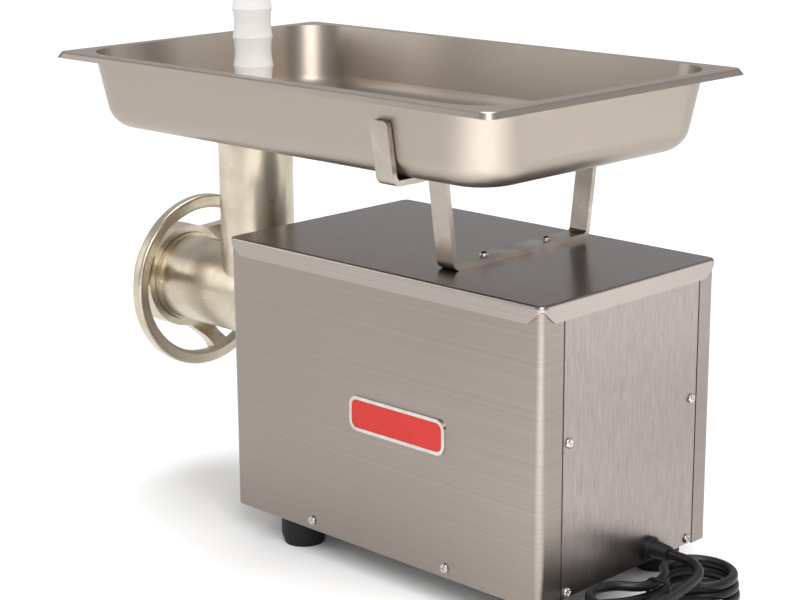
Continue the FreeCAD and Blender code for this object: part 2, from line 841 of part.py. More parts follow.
def make_tray():
    """A pressed pan: a flat rim with a lip that leans out, a tapered bowl and a spout for the throat."""
    rim = tapered("tray_width/2 - lip_spread", "tray_length/2 - lip_spread", "lip_spread", "tray_top",
                  "rim_lip", "rim_corner")
    rim = round_edges(rim, "rim_bend + tray_gauge", at_height("tray_top"))
    inset = "tray_gauge/cos(lip_lean)"
    spread = "(rim_lip - tray_gauge)*tan(lip_lean)"
    under = tapered(f"tray_width/2 - {inset} - {spread}", f"tray_length/2 - {inset} - {spread}", spread,
                    "tray_top - tray_gauge", "rim_lip - tray_gauge", "rim_corner - tray_gauge")
    under = round_edges(under, "rim_bend", at_height("tray_top - tray_gauge"))
    spout = rod("0", "throat_y", "tray_z - spout_depth", "spout_radius", "spout_depth + tray_gauge/2")
    solid = fuse(cut(rim, under), bowl("0"), spout)
    hole = rod("0", "throat_y", "tray_z - 2*spout_depth", "spout_bore", "4*spout_depth")
    keep(cut(cut(solid, bowl("tray_gauge")), hole), "feed_tray")


# Grinding head
def make_head():
    barrel = turned("0", "barrel_rear", "axis_height", "-Y", [
        ("0", "0"), ("barrel_radius", "0"),
        ("barrel_radius", "barrel_rear - barrel_front - thread_length"),
        ("thread_radius", "barrel_rear - barrel_front - thread_length"),
        ("thread_radius", "barrel_rear - barrel_front"), ("0", "barrel_rear - barrel_front")])
    throat = rod("0", "throat_y", "axis_height", "throat_radius", "throat_top - axis_height")
    neck = rod("0", "barrel_rear", "axis_height", "neck_radius", "case_y - stack_gap - barrel_rear", "Y")
    bores = [
        rod("0", "washer_rear", "axis_height", "bore_radius", "washer_rear - plate_rear", "-Y"),
        rod("0", "plate_rear", "axis_height", "seat_radius", "2*plate_thick", "-Y"),
        rod("0", "throat_y", "axis_height", "throat_bore", "throat_top"),
        rod("0", "washer_rear - gauge", "axis_height", "journal_radius + fit", "2*barrel_rear_wall", "Y"),
        rod("0", "barrel_rear", "axis_height", "neck_bore", "2*hub_reach", "Y"),
        key_pin("fit")]
    solid = fuse(barrel, throat, neck)
    for bore in bores:
        solid = cut(solid, bore)
    keep(solid, "head_casting")
    keep(key_pin("0"), "plate_key_pin")
    keep(tube("0", "washer_rear", "axis_height", "-Y", "journal_radius + plate_fit", "washer_ring_radius",
              "washer_ring_thick"), "thrust_washer")


def key_pin(clear):
    """The pin that stops the plate from turning, half sunk in the wall of its seat."""
    return rod("0", "plate_rear", "axis_height - seat_radius", f"key_radius + {clear}",
               "plate_thick - plate_stand", "-Y")


def square_bar(y, side, length):
    """A square bar along Y, centred on the shaft axis and starting at y."""
    return box(f"-({side})/2", y, f"axis_height - ({side})/2", side, length, side)


def make_plate():
    disc = rod("0", "plate_rear", "axis_height", "plate_radius", "plate_thick", "-Y")
    tools = [
        rod("0", "plate_rear + gauge", "axis_height", "pilot_radius + fit", "2*plate_thick", "-Y"),
        rod("0", "plate_rear + gauge", "axis_height - seat_radius", "key_radius + plate_fit",
            "2*plate_thick", "-Y")]
    rings = ((6, "plate_radius*0.34"), (12, "plate_radius*0.57"), (18, "plate_radius*0.8"))
    for holes, circle in rings:
        for step in range(holes):
            angle = 360.0 * (step + 0.5) / holes
            tools.append(rod(f"{circle}*cos({angle})", "plate_rear + gauge",
                             f"axis_height + {circle}*sin({angle})", "plate_hole_radius",
                             "2*plate_thick", "-Y"))
    keep(cut(disc, *tools), "cutting_plate")


def make_knife():
    hub = rod("0", "knife_front", "axis_height", "knife_hub_radius", "knife_thick", "Y")
    blades = [
        extruded("0", "knife_rear", "axis_height", "knife_thick", [
            ("-knife_blade_width/2", "knife_hub_radius/2"), ("knife_blade_width/2", "knife_hub_radius/2"),
            ("knife_blade_width*0.35", "knife_reach"), ("-knife_blade_width*0.15", "knife_reach")],
            about_y(quarter * 90.0) * TURNS["-Y"])
        for quarter in range(4)]
    hole = square_bar("knife_front - gauge", "front_square + 2*tail_fit", "2*knife_thick")
    keep(cut(fuse(hub, *blades), hole), "knife")


def make_auger():
    """A screw whose flight winds on a straight core, with a square at each end."""
    start = "washer_front - stack_gap"
    length = f"({start} - knife_rear - stack_gap)"
    journal = f"({start} - barrel_rear)"
    pilot = f"({start} - plate_rear + plate_thick/2)"
    body = doc.addObject("PartDesign::Body", "auger_body")
    core = outline(body, "XZ_Plane", [
        ("0", journal), ("journal_radius", journal), ("journal_radius", "0"), ("auger_core", "0"),
        ("auger_core", length), ("pilot_radius", length), ("pilot_radius", pilot), ("0", pilot)])
    spin = body.newObject("PartDesign::Revolution", "core")
    spin.Profile = core
    spin.ReferenceAxis = (core, ["V_Axis"])
    spin.Angle = 360
    doc.recompute()
    flight = outline(body, "XZ_Plane", [
        ("auger_core - gauge", "stack_gap"), ("auger_radius", "stack_gap + (flight_root - flight_tip)/2"),
        ("auger_radius", "stack_gap + (flight_root + flight_tip)/2"),
        ("auger_core - gauge", "stack_gap + flight_root")])
    helix = body.newObject("PartDesign::AdditiveHelix", "flight")
    helix.Profile = flight
    helix.ReferenceAxis = (flight, ["V_Axis"])
    helix.Mode = 0
    helix.Angle = 0
    bind(helix, Pitch="auger_pitch", Height=f"{length} - flight_root - 2*stack_gap")
    place(body, "0", start, "axis_height", TURNS["-Y"])
    tail = square_bar("barrel_rear - gauge", "tail_square",
                      "shaft_front + socket_depth - stack_gap - barrel_rear + gauge")
    nose = square_bar("plate_rear + stack_gap/2", "front_square", "knife_thick + 2*stack_gap + gauge")
    keep(fuse(body, tail, nose), "auger")


# Ring nut with its handwheel
def make_ring_nut():
    nut = turned("0", "nut_front", "axis_height", "Y", [
        ("nut_lip_bore", "0"), ("nut_radius - nut_lip/2", "0"), ("nut_radius", "nut_lip/2"),
        ("nut_radius", "nut_length"), ("nut_bore", "nut_length"), ("nut_bore", "nut_lip"),
        ("nut_lip_bore", "nut_lip")])
    rim = turned("0", "wheel_y - rim_axial/2", "axis_height", "Y", [
        ("wheel_radius - rim_section", "rim_round"), ("wheel_radius - rim_section + rim_round", "0"),
        ("wheel_radius - rim_round", "0"), ("wheel_radius", "rim_round", "rim_round", -1),
        ("wheel_radius", "rim_axial - rim_round"),
        ("wheel_radius - rim_round", "rim_axial", "rim_round", -1),
        ("wheel_radius - rim_section + rim_round", "rim_axial"),
        ("wheel_radius - rim_section", "rim_axial - rim_round")])
    spokes = [spoke(step) for step in range(count("spoke_count"))]
    keep(fuse(nut, rim, *spokes), "ring_nut_handwheel")


def spoke(step):
    """One cast arm: wide at the nut, drawn in, and flared where it runs back into the rim."""
    root = "(nut_radius - nut_wall/3)"
    tip = "(wheel_radius - rim_section/2)"
    near = "(nut_rear - spoke_thick)"
    far = "(wheel_y - rim_axial/2 + rim_round)"
    depth = "(rim_axial - 2*rim_round)"
    body = doc.addObject("PartDesign::Body", "arm")
    stations = [
        (root, "spoke_root", near, "spoke_thick"),
        (f"{root}*0.7 + {tip}*0.3", "spoke_waist*1.15", f"{near}*0.8 + {far}*0.2", "spoke_thick"),
        (f"{root}*0.35 + {tip}*0.65", "spoke_waist", f"{near}*0.35 + {far}*0.65", "spoke_thick"),
        (tip, "spoke_tip", far, depth)]
    sections = [section(body, radius, [
        (f"-({half})", y), (half, y), (half, f"{y} + {thick}"), (f"-({half})", f"{y} + {thick}")])
        for radius, half, y, thick in stations]
    arm = body.newObject("PartDesign::AdditiveLoft", "loft")
    arm.Profile = sections[0]
    arm.Sections = sections[1:]
    angle = value("spoke_angle") - 90.0 + 360.0 * step / count("spoke_count")
    return place(body, "0", "0", "axis_height", about_y(angle))


def section(body, height, corners):
    """An outline on a plane parallel to the ground, at a height of its own."""
    sketch = outline(body, "XY_Plane", corners)
    sketch.setExpression("AttachmentOffset.Base.z", formula(height))
    return sketch


# Stomper
def make_stomper():
    """A turned pusher: piston, collar that rests on the tray, and a grip with hollows between ridges."""
    floor = "tray_z + tray_gauge"
    top = "grip_first + (grip_count - 1)*grip_pitch"
    pusher = turned("0", "throat_y", floor, "Z", [
        ("0", "-piston_length"), ("piston_radius - gauge", "-piston_length"),
        ("piston_radius", "gauge - piston_length"), ("piston_radius", "0"), ("collar_radius", "0"),
        ("collar_radius", "collar_thick - gauge"), ("collar_radius - gauge", "collar_thick"),
        ("0", "collar_thick")])
    grip = turned("0", "throat_y", floor, "Z", [
        ("0", "collar_thick/2"), ("grip_radius", "collar_thick/2"), ("grip_radius", top),
        ("grip_radius - grip_sag", f"{top} + grip_end/2"),
        ("grip_radius/2", f"{top} + grip_end", "grip_radius*0.9", -1), ("0", f"{top} + grip_end")])
    hollow = "(grip_pitch^2/4 + grip_sag^2)/(2*grip_sag)"
    for step in range(count("grip_count") - 1):
        ring = bind(doc.addObject("Part::Torus", "hollow"), Radius2=hollow,
                    Radius1=f"grip_radius - grip_sag + {hollow}")
        place(ring, "0", "throat_y", f"{floor} + grip_first + {step + 0.5}*grip_pitch")
        grip = cut(grip, ring)
    solid = fuse(pusher, grip)
    keep(solid, "stomper")


# Gear train
def gear_shape(teeth, module, width, bore, first_tooth):
    """An involute spur gear along +Y from the origin, one tooth centred at the given angle."""
    pitch = teeth * module / 2.0
    base = pitch * math.cos(math.radians(20))
    tip = pitch + module
    root = pitch - 1.25 * module
    def half_angle(radius):
        """Half the tooth's angle at a radius, from the involute of the base circle."""
        spread = lambda r: math.sqrt(max((r / base) ** 2 - 1.0, 0.0)) - math.acos(min(base / r, 1.0))
        thin = (math.pi * module / 2.0 - value("backlash")) / (2.0 * pitch)
        return thin + spread(pitch) - spread(max(radius, base))
    flank = [root, max(root, base) + 0.15 * module, pitch, tip]
    points = []
    for tooth in range(teeth):
        centre = first_tooth + 2.0 * math.pi * tooth / teeth
        sides = [(r, centre - half_angle(r)) for r in flank]
        sides += [(r, centre + half_angle(r)) for r in flank[::-1]]
        points += [Vector(r * math.cos(a), 0, r * math.sin(a)) for r, a in sides]
    face = Part.Face(Part.makePolygon(points + points[:1]))
    hole = Part.makeCylinder(bore, 4 * width, Vector(0, -2 * width, 0), Vector(0, 1, 0))
    return face.extrude(Vector(0, width, 0)).cut(hole)


def gear(label, x, y, z, teeth, module, width, bore, first_tooth):
    """A gear's own shape comes from the sheet's values; its place is bound like the rest."""
    wheel = doc.addObject("Part::Feature", "gear")
    wheel.Shape = gear_shape(count(teeth), value(module), value(width), value(bore), first_tooth)
    keep(place(wheel, x, y, z), label)


def make_gears():
    down = math.atan2(value("-mid_drop"), value("mid_x"))
    gear("output_gear", "0", "final_y", "axis_height", "output_teeth", "final_module", "final_width",
         "shaft_radius + fit", down)
    gap = math.pi / count("pinion_teeth")
    gear("intermediate_pinion", "mid_x", "final_y", "mid_z", "pinion_teeth", "final_module", "final_width",
         "mid_journal_radius + fit", down + math.pi + gap)
    low = math.atan2(value("motor_height - mid_z"), value("-mid_x"))
    gear("intermediate_gear", "mid_x", "first_y", "mid_z", "wheel_teeth", "first_module", "first_width",
         "mid_journal_radius + fit", low)
    gap = math.pi / count("motor_teeth")
    gear("motor_pinion", "0", "first_y", "motor_height", "motor_teeth", "first_module", "first_width",
         "pinion_seat + fit", low + math.pi + gap)


def case_block(y, depth, inset):
    """A rounded block round the whole gear train, seen along Y."""
    radius = f"case_corner - {inset}" if inset == "0" else "case_corner/2"
    block = box(f"case_left + {inset}", y, f"case_low + {inset}",
                f"case_right - case_left - 2*{inset}", depth, f"case_top - case_low - 2*{inset}")
    return round_edges(block, radius, lambda edge: runs_along(edge, Vector(0, 1, 0)))


def case_screw_places():
    inset = "case_wall/2"
    across = ("case_left + case_corner", "(case_left + case_right)/2", "case_right - case_corner")
    return [(x, z) for x in across for z in (f"case_low + {inset}", f"case_top - {inset}")]


def make_gearbox():
    block = case_block("case_y", "cover_y - case_y", "0")
    front = value("case_y")
    faces_wrap = lambda edge: upright(edge) and edge.CenterOfMass.y < front + 1e-3
    block = round_edges(block, "corner_radius", faces_wrap)
    cavity = case_block("seat_y", "cover_y - seat_y + gauge", "case_wall")
    hub = rod("0", "case_y + gauge", "axis_height", "hub_radius", "hub_reach + 2*gauge", "-Y")
    boss = rod("0", "seat_y - gauge", "axis_height", "out_bearing_radius + bearing_boss",
               "out_bearing_width + gauge", "Y")
    mid_boss = rod("mid_x", "seat_y - gauge", "mid_z", "mid_bearing_radius + bearing_boss",
                   "out_bearing_width + gauge", "Y")
    solid = fuse(cut(block, cavity), hub, boss, mid_boss)
    tools = [
        rod("0", "case_y", "axis_height", "neck_radius + fit", "2*hub_reach", "-Y"),
        rod("0", "case_y - gauge", "axis_height", "seal_radius + fit", "case_front_wall + 2*gauge", "Y"),
        rod("0", "seat_y", "axis_height", "out_bearing_radius + fit", "2*out_bearing_width", "Y"),
        rod("mid_x", "mid_bearing_y", "mid_z", "mid_bearing_radius + fit", "2*mid_bearing_width", "Y"),
        rod("-neck_radius/2", "knob_y", "axis_height", "stud_radius + fit", "2*hub_radius", "-X")]
    thread = "screw_radius + fit"
    for x, z in hub_screw_places():
        tools.append(rod(x, "case_y - gauge", z, thread, "screw_bite + gauge", "Y"))
    for x, z in case_screw_places():
        tools.append(rod(x, "cover_y + gauge", z, thread, "screw_bite + gauge", "-Y"))
    for tool in tools:
        solid = cut(solid, tool)
    keep(solid, "gearbox_case")
    cover = case_block("cover_y", "cover_thick", "0")
    tools = [
        rod("0", "cover_y - gauge", "axis_height", "rear_bearing_radius + fit", "rear_bearing_width + gauge",
            "Y"),
        rod("mid_x", "cover_y - gauge", "mid_z", "mid_bearing_radius + fit", "mid_bearing_width + gauge",
            "Y"),
        rod("0", "cover_y - gauge", "motor_height", "motor_tip + gear_room", "2*cover_thick", "Y")]
    tools += [rod(x, "cover_y - gauge", z, "screw_radius + hole_fit", "2*cover_thick", "Y")
              for x, z in case_screw_places()]
    tools += [rod(x, "motor_y + gauge", z, "screw_radius + fit", "screw_bite + gauge", "-Y")
              for x, z in motor_screw_places()]
    keep(cut(cover, *tools), "gearbox_cover")
    keep(group(*[pan_screw(x, "motor_y", z, "-Y", "cover_thick + screw_bite - stack_gap")
                 for x, z in case_screw_places()]), "gearbox_screws")
    keep(group(*[pan_screw(x, "front_y", z, "Y", "gauge + screw_bite - stack_gap")
                 for x, z in hub_screw_places()]), "hub_screws")
    keep(tube("0", "case_y", "axis_height", "Y", "shaft_radius + fit", "seal_radius",
              "case_front_wall"), "shaft_seal")


def bearing(x, y, z, bore, radius, width):
    """A ball bearing as one ring, with a shallow groove in each face between its two races."""
    low = f"({bore}) + ({radius} - ({bore}))*0.3"
    high = f"({bore}) + ({radius} - ({bore}))*0.7"
    depth = f"({width})*0.1"
    return turned(x, y, z, "Y", [
        (bore, "0"), (low, "0"), (low, depth), (high, depth), (high, "0"), (radius, "0"),
        (radius, width), (high, width), (high, f"{width} - {depth}"), (low, f"{width} - {depth}"),
        (low, width), (bore, width)])


def make_shafts():
    shaft = turned("0", "shaft_front", "axis_height", "Y", [
        ("0", "0"), ("shaft_hub_radius", "0"), ("shaft_hub_radius", "shaft_hub_length - gauge"),
        ("shaft_radius", "shaft_hub_length - gauge"), ("shaft_radius", "cover_y - gear_gap - shaft_front"),
        ("rear_journal_radius", "cover_y - gear_gap - shaft_front"),
        ("rear_journal_radius", "cover_y + rear_bearing_width - shaft_front"),
        ("0", "cover_y + rear_bearing_width - shaft_front")])
    socket = square_bar("shaft_front - gauge", "tail_square + 2*tail_fit", "socket_depth + gauge")
    keep(cut(shaft, socket), "output_shaft")
    keep(rod("mid_x", "mid_bearing_y", "mid_z", "mid_journal_radius",
             "cover_y + mid_bearing_width - mid_bearing_y", "Y"), "intermediate_shaft")
    keep(group(
        bearing("0", "seat_y", "axis_height", "shaft_radius + fit", "out_bearing_radius",
                "out_bearing_width"),
        bearing("0", "cover_y", "axis_height", "rear_journal_radius + fit", "rear_bearing_radius",
                "rear_bearing_width")), "output_bearings")
    keep(group(*[
        bearing("mid_x", y, "mid_z", "mid_journal_radius + fit", "mid_bearing_radius", "mid_bearing_width")
        for y in ("mid_bearing_y", "cover_y")]), "intermediate_bearings")


# Motor
MOTOR_SCREW_ANGLES = (-5, 73, 140, 185)


def motor_screw_places():
    """Screws on one circle, clear of the bearing seats and of the cover's own screws."""
    return [(f"motor_screw_circle*cos({angle})", f"motor_height + motor_screw_circle*sin({angle})")
            for angle in MOTOR_SCREW_ANGLES]


def motor_bell(y, pocket_y):
    """An end bell: a disc with a spigot pocket for the bearing and a clear hole for the shaft."""
    disc = rod("0", y, "motor_height", "motor_radius", "bell_thick", "Y")
    pocket = rod("0", pocket_y, "motor_height", "rotor_bearing_radius + fit", "rotor_bearing_width", "Y")
    hole = rod("0", f"{y} - gauge", "motor_height", "rotor_middle", "2*bell_thick", "Y")
    return cut(cut(disc, pocket), hole)


def make_motor():
    front_pocket = "frame_y - rotor_bearing_width"
    front = motor_bell("motor_y", front_pocket)
    holes = [rod(x, "motor_y - gauge", z, "screw_radius + hole_fit", "2*bell_thick", "Y")
             for x, z in motor_screw_places()]
    reliefs = [rod(x, "motor_y", z, "screw_head_radius + screw_head", "screw_head + gauge", "Y")
               for x, z in case_screw_places() if near_motor(x, z)]
    keep(cut(front, *(holes + reliefs)), "motor_front_bell")
    keep(group(*[pan_screw(x, "frame_y", z, "-Y", "bell_thick + screw_bite - stack_gap")
                 for x, z in motor_screw_places()]), "motor_screws")
    keep(motor_bell("rear_bell_y", "rear_bell_y"), "motor_rear_bell")
    inside = "motor_radius - motor_wall"
    keep(tube("0", "frame_y", "motor_height", "Y", inside, "motor_radius", "motor_length"), "motor_frame")
    keep(tube("0", "stator_y", "motor_height", "Y", "stator_bore", f"{inside} - stator_fit",
              "stator_length"), "stator_core")
    keep(group(*[
        tube("0", y, "motor_height", "Y", "winding_inner", "winding_outer", "winding_length")
        for y in ("stator_y - winding_length", "stator_y + stator_length")]), "stator_windings")
    keep(group(*[
        bearing("0", y, "motor_height", "rotor_journal + fit", "rotor_bearing_radius",
                "rotor_bearing_width") for y in (front_pocket, "rear_bell_y")]), "motor_bearings")
    make_rotor(front_pocket)
    cradle = slab("0", "frame_y + motor_length/2", "floor_z", "cradle_width", "cradle_length",
                  "cradle_rise")
    bed = rod("0", "frame_y - motor_length", "motor_height", "motor_radius + stator_fit",
              "3*motor_length", "Y")
    keep(cut(cradle, bed), "motor_cradle")


def near_motor(x, z):
    """Whether a screw head on the cover lies under the motor's front bell."""
    reach = math.hypot(value(x), value(z) - value("motor_height"))
    return reach < value("motor_radius + screw_head_radius")


def make_rotor(front_pocket):
    at = lambda place_y: f"{place_y} - first_y"
    keep(turned("0", "first_y", "motor_height", "Y", [
        ("0", "0"), ("pinion_seat", "0"), ("pinion_seat", at("motor_y")),
        ("rotor_journal", at("motor_y")), ("rotor_journal", at("frame_y") + " + stack_gap"),
        ("rotor_middle - gauge", at("frame_y") + " + stack_gap"),
        ("rotor_middle - gauge", at("rear_bell_y") + " - stack_gap"),
        ("rotor_journal", at("rear_bell_y") + " - stack_gap"),
        ("rotor_journal", at("fan_y") + " + fan_depth"), ("0", at("fan_y") + " + fan_depth")]),
        "rotor_shaft")
    keep(tube("0", "stator_y", "motor_height", "Y", "rotor_middle - gauge + fit", "stator_bore - air_gap",
              "stator_length"), "rotor_core")
    hub = tube("0", "fan_y", "motor_height", "Y", "rotor_journal + fit", "fan_hub", "fan_depth")
    plate = tube("0", "fan_y", "motor_height", "Y", "fan_hub - gauge", "fan_radius", "fan_plate")
    blades = []
    for step in range(count("fan_blades")):
        blade = box("fan_hub - gauge", "fan_y", "-fan_blade/2", "fan_radius - fan_hub", "fan_depth",
                    "fan_blade")
        turn = Rotation(Vector(0, 1, 0), 360.0 * step / count("fan_blades"))
        blades.append(spun(blade, turn))
    keep(fuse(hub, plate, *blades), "cooling_fan")


def spun(solid, turn):
    """A copy of a solid turned about the motor's axis, from its place round the origin."""
    copy = doc.addObject("Part::Compound", "spun")
    copy.Links = [solid]
    return place(copy, "0", "0", "motor_height", turn)


# Electrics
def make_electrics():
    x = "capacitor_x"
    post = "capacitor_radius/3"
    y = f"(capacitor_end - {post} - capacitor_length)"
    z = "floor_z + clip_wall + capacitor_radius"
    can = rod(x, y, z, "capacitor_radius", "capacitor_length", "Y")
    posts = [box(f"{x} + {side}*capacitor_radius/2 - clip_wall", f"{y} + capacitor_length",
                 f"{z} - clip_wall", "2*clip_wall", post, "2*clip_wall")
             for side in SIDES]
    keep(fuse(can, *posts), "run_capacitor")
    middle = f"{y} + capacitor_length/2"
    ring = tube(x, f"{middle} - clip_width/2", z, "Y", "capacitor_radius + fit",
                "capacitor_radius + clip_wall", "clip_width")
    tab = slab(x, middle, "floor_z", "2*capacitor_radius", "clip_width", "clip_wall/2")
    keep(fuse(ring, tab), "capacitor_clip")
    block = slab("block_x", "block_y", "floor_z", "block_width", "block_length", "block_height")
    pole = "block_length/block_poles"
    wells = [rod("block_x", f"block_y - block_length/2 + {pole}*({n} + 0.5)",
                 "floor_z + block_height/2", f"{pole}*0.3", "block_height")
             for n in range(count("block_poles"))]
    keep(cut(block, *wells), "terminal_block")


def make_switch():
    y = "front_y + switch_y"
    z = "foot_height + switch_z"
    wide = "switch_width + 2*switch_wall"
    tall = "switch_height + 2*switch_wall"
    shell = slab("switch_side + switch_depth/2", y, f"{z} - ({tall})/2", "switch_depth",
                 f"{wide} - 2*hole_fit", f"{tall} - 2*hole_fit")
    bezel = slab("switch_side - bezel_thick/2", y, f"{z} - ({tall})/2 - bezel_border", "bezel_thick",
                 f"{wide} + 2*bezel_border", f"{tall} + 2*bezel_border")
    bezel = round_edges(bezel, "bezel_border", lambda edge: runs_along(edge, Vector(1, 0, 0)))
    well = slab("switch_side", y, f"{z} - switch_height/2", "2*(switch_depth - switch_wall)",
                "switch_width", "switch_height")
    pin_x = "switch_side + rocker_pin_depth"
    pin_hole = rod(pin_x, f"{y} - switch_width", z, "rocker_pin + fit", "2*switch_width", "Y")
    keep(cut(cut(fuse(shell, bezel), well), pin_hole), "switch_body")
    half = "rocker_half"
    rocker = extruded(pin_x, f"{y} + switch_width/2 - rocker_fit", z, "switch_width - 2*rocker_fit", [
        ("rocker_pin_depth/2", "-rocker_pin*2"), ("rocker_pin_depth/2", "rocker_pin*2"),
        ("-rocker_pin_depth", f"{half} - rocker_rise"),
        ("-rocker_pin_depth - bezel_thick - rocker_rise", f"{half} - rocker_rise"),
        ("-rocker_pin_depth - bezel_thick", "0"),
        ("-rocker_pin_depth - bezel_thick - rocker_rise", f"rocker_rise - {half}"),
        ("-rocker_pin_depth", f"rocker_rise - {half}")], TURNS["-Y"])
    pin = rod(pin_x, f"{y} - switch_width/2 - switch_wall/2", z, "rocker_pin", "switch_width + switch_wall",
              "Y")
    tilt = Rotation(Vector(0, 1, 0), value("rocker_tilt"))
    rocker.Placement = Placement(rocker.Placement.Base, tilt * TURNS["-Y"])
    keep(fuse(rocker, pin), "switch_rocker")


def make_lock_knob():
    """A lobed knob whose stud reaches through the hub to the neck of the head."""
    grip = rod("knob_x", "knob_y", "axis_height", "knob_radius", "knob_length", "-X")
    grooves = []
    for step in range(count("knob_lobes")):
        angle = 360.0 * step / count("knob_lobes")
        grooves.append(rod("knob_x + gauge", f"knob_y + (knob_radius + gauge)*cos({angle})",
                           f"axis_height + (knob_radius + gauge)*sin({angle})", "knob_groove",
                           "2*knob_length", "-X"))
    stud = rod("-(neck_radius + plate_fit)", "knob_y", "axis_height", "stud_radius",
               "hub_radius + knob_stand + knob_length/2 - neck_radius", "-X")
    keep(fuse(cut(grip, *grooves), stud), "lock_knob")


# Mains lead wound into a tied hank
def biarc(start, leave, stop, arrive, reach):
    """The two control points and the joint of two tangent arcs; reach is the leg at the second end."""
    span = stop - start
    lead = (span.dot(span) - 2 * reach * span.dot(arrive)) / (
        2 * span.dot(leave) + 2 * reach * (1 - leave.dot(arrive)))
    first = start + leave * lead
    second = stop - arrive * reach
    joint = first + (second - first) * (lead / (lead + reach))
    return first, joint, second


def arc_edge(start, control, stop):
    """The circular arc whose end tangents meet at the control point."""
    leg = (control - start).normalize()
    weight = math.cos(leg.getAngle((stop - control)) / 2)
    middle = (start + stop + control * (2 * weight)) * (1 / (2 + 2 * weight))
    return Part.Arc(start, middle, stop).toShape()


def hank_stations():
    """The points where the lead heads straight along or across the hank, with their headings."""
    x0 = value("hank_x")
    y0 = value("hank_y")
    z0 = value("cord_floor")
    pitch = value("cord_pitch")
    fold = value("fold_radius")
    waist = value("waist_half")
    near = lambda layer: value("near_reach") + value("fan_near") * (3 - layer)
    far = lambda layer: value("far_reach") + value("fan_far") * (2 - layer)
    out, back, right = Vector(0, 1, 0), Vector(0, -1, 0), Vector(1, 0, 0)
    level = lambda layer: z0 + pitch * layer
    straight = 2 * value("cord_radius")
    slope = pitch / (2 * value("far_reach"))
    down = Vector(-1, 0, -slope).normalize()
    stations = [(Vector(value("gland_x"), value("gland_tip") + straight, value("gland_height")), out)]
    stations.append((Vector(x0 + near(3) - fold, y0 + fold, level(3)), right))
    for layer in (3, 2, 1):
        stations.append((Vector(x0 + near(layer), y0, level(layer)), back))
        stations.append((Vector(x0, y0 - waist, level(layer - 0.5)), down))
        stations.append((Vector(x0 - far(layer - 1), y0, level(layer - 1)), out))
        if layer > 1:
            stations.append((Vector(x0, y0 + waist, level(layer - 1)), right))
    stations.append((Vector(x0 - far(0) + fold, y0 + fold, level(0)), right))
    stations.append((Vector(x0 - far(0) + fold + value("tail_run"), value("plug_y"), value("plug_z")), right))
    return stations


def make_cord():
    stations = hank_stations()
    straight = 2 * value("cord_radius")
    first, heading = stations[0]
    edges = [Part.LineSegment(first - heading * straight, first).toShape()]
    radii = []
    for (start, leave), (stop, arrive) in zip(stations, stations[1:]):
        for edge in stretch(start, leave, stop, arrive):
            edges.append(edge)
            if edge.Curve.TypeId == "Part::GeomCircle":
                radii.append(edge.Curve.Radius)
    last, heading = stations[-1]
    edges.append(Part.LineSegment(last, last + heading * straight).toShape())
    path = Part.Wire(edges)
    ring = Part.Wire(Part.makeCircle(value("cord_radius"), edges[0].Vertexes[0].Point, stations[0][1]))
    lead = doc.addObject("Part::Feature", "lead")
    lead.Shape = path.makePipeShell([ring], True, False)
    section = math.pi * value("cord_radius") ** 2
    print(f"mains lead {path.Length:.0f} mm, volume over section times length "
          f"{lead.Shape.Volume / (section * path.Length):.4f}")
    print("arc radii of the lead", [round(radius, 1) for radius in radii])
    print(f"least gap of the lead to itself {least_gap(path):.2f} mm")
    keep(lead, "cord_hank")


def stretch(start, leave, stop, arrive):
    """Tangent arcs from one station to the next, with the fold's own radius at the turning end."""
    if leave.getAngle(arrive) < math.radians(45):
        first, joint, second = equal_biarc(start, leave, stop, arrive)
    elif abs(arrive.x) < 0.5:
        first, joint, second = biarc(start, leave, stop, arrive, fold_leg(start, stop))
    else:
        second, joint, first = biarc(stop, arrive * -1, start, leave * -1, fold_leg(stop, start))
    arcs = []
    for begin, control, end in ((start, first, joint), (joint, second, stop)):
        if begin.distanceToPoint(end) > 1e-6:
            arcs.append(arc_edge(begin, control, end))
    return arcs


def fold_leg(waist, fold_point):
    """The leg of the control point at a fold, for an arc of the fold's radius."""
    fold = value("fold_radius")
    across = abs(waist.y - fold_point.y)
    along = abs(waist.x - fold_point.x) - fold
    if across > fold - 1e-6:
        return fold
    sweep = (along * along + across * across - fold * fold) / (2 * (fold - across))
    lean = math.asin(along / (sweep + fold))
    return fold * math.tan((math.pi / 2 + lean) / 2)


def equal_biarc(start, leave, stop, arrive):
    """Two tangent arcs with equal legs."""
    span = stop - start
    both = leave + arrive
    spread = 2 * (1 - leave.dot(arrive))
    if spread < 1e-9:
        leg = span.dot(span) / (4 * span.dot(leave))
    else:
        leg = (math.sqrt(span.dot(both) ** 2 + spread * span.dot(span)) - span.dot(both)) / spread
    first = start + leave * leg
    second = stop - arrive * leg
    return first, (first + second) * 0.5, second


def least_gap(path):
    """The least distance between the surfaces of stretches that aren't neighbours, on points."""
    step = value("cord_radius") / 2
    points = path.discretize(Distance=step)
    apart = int(6 * value("cord_radius") / step)
    nearest = 1e9
    for i, point in enumerate(points):
        for other in points[i + apart:]:
            nearest = min(nearest, point.distanceToPoint(other))
    return nearest - 2 * value("cord_radius")


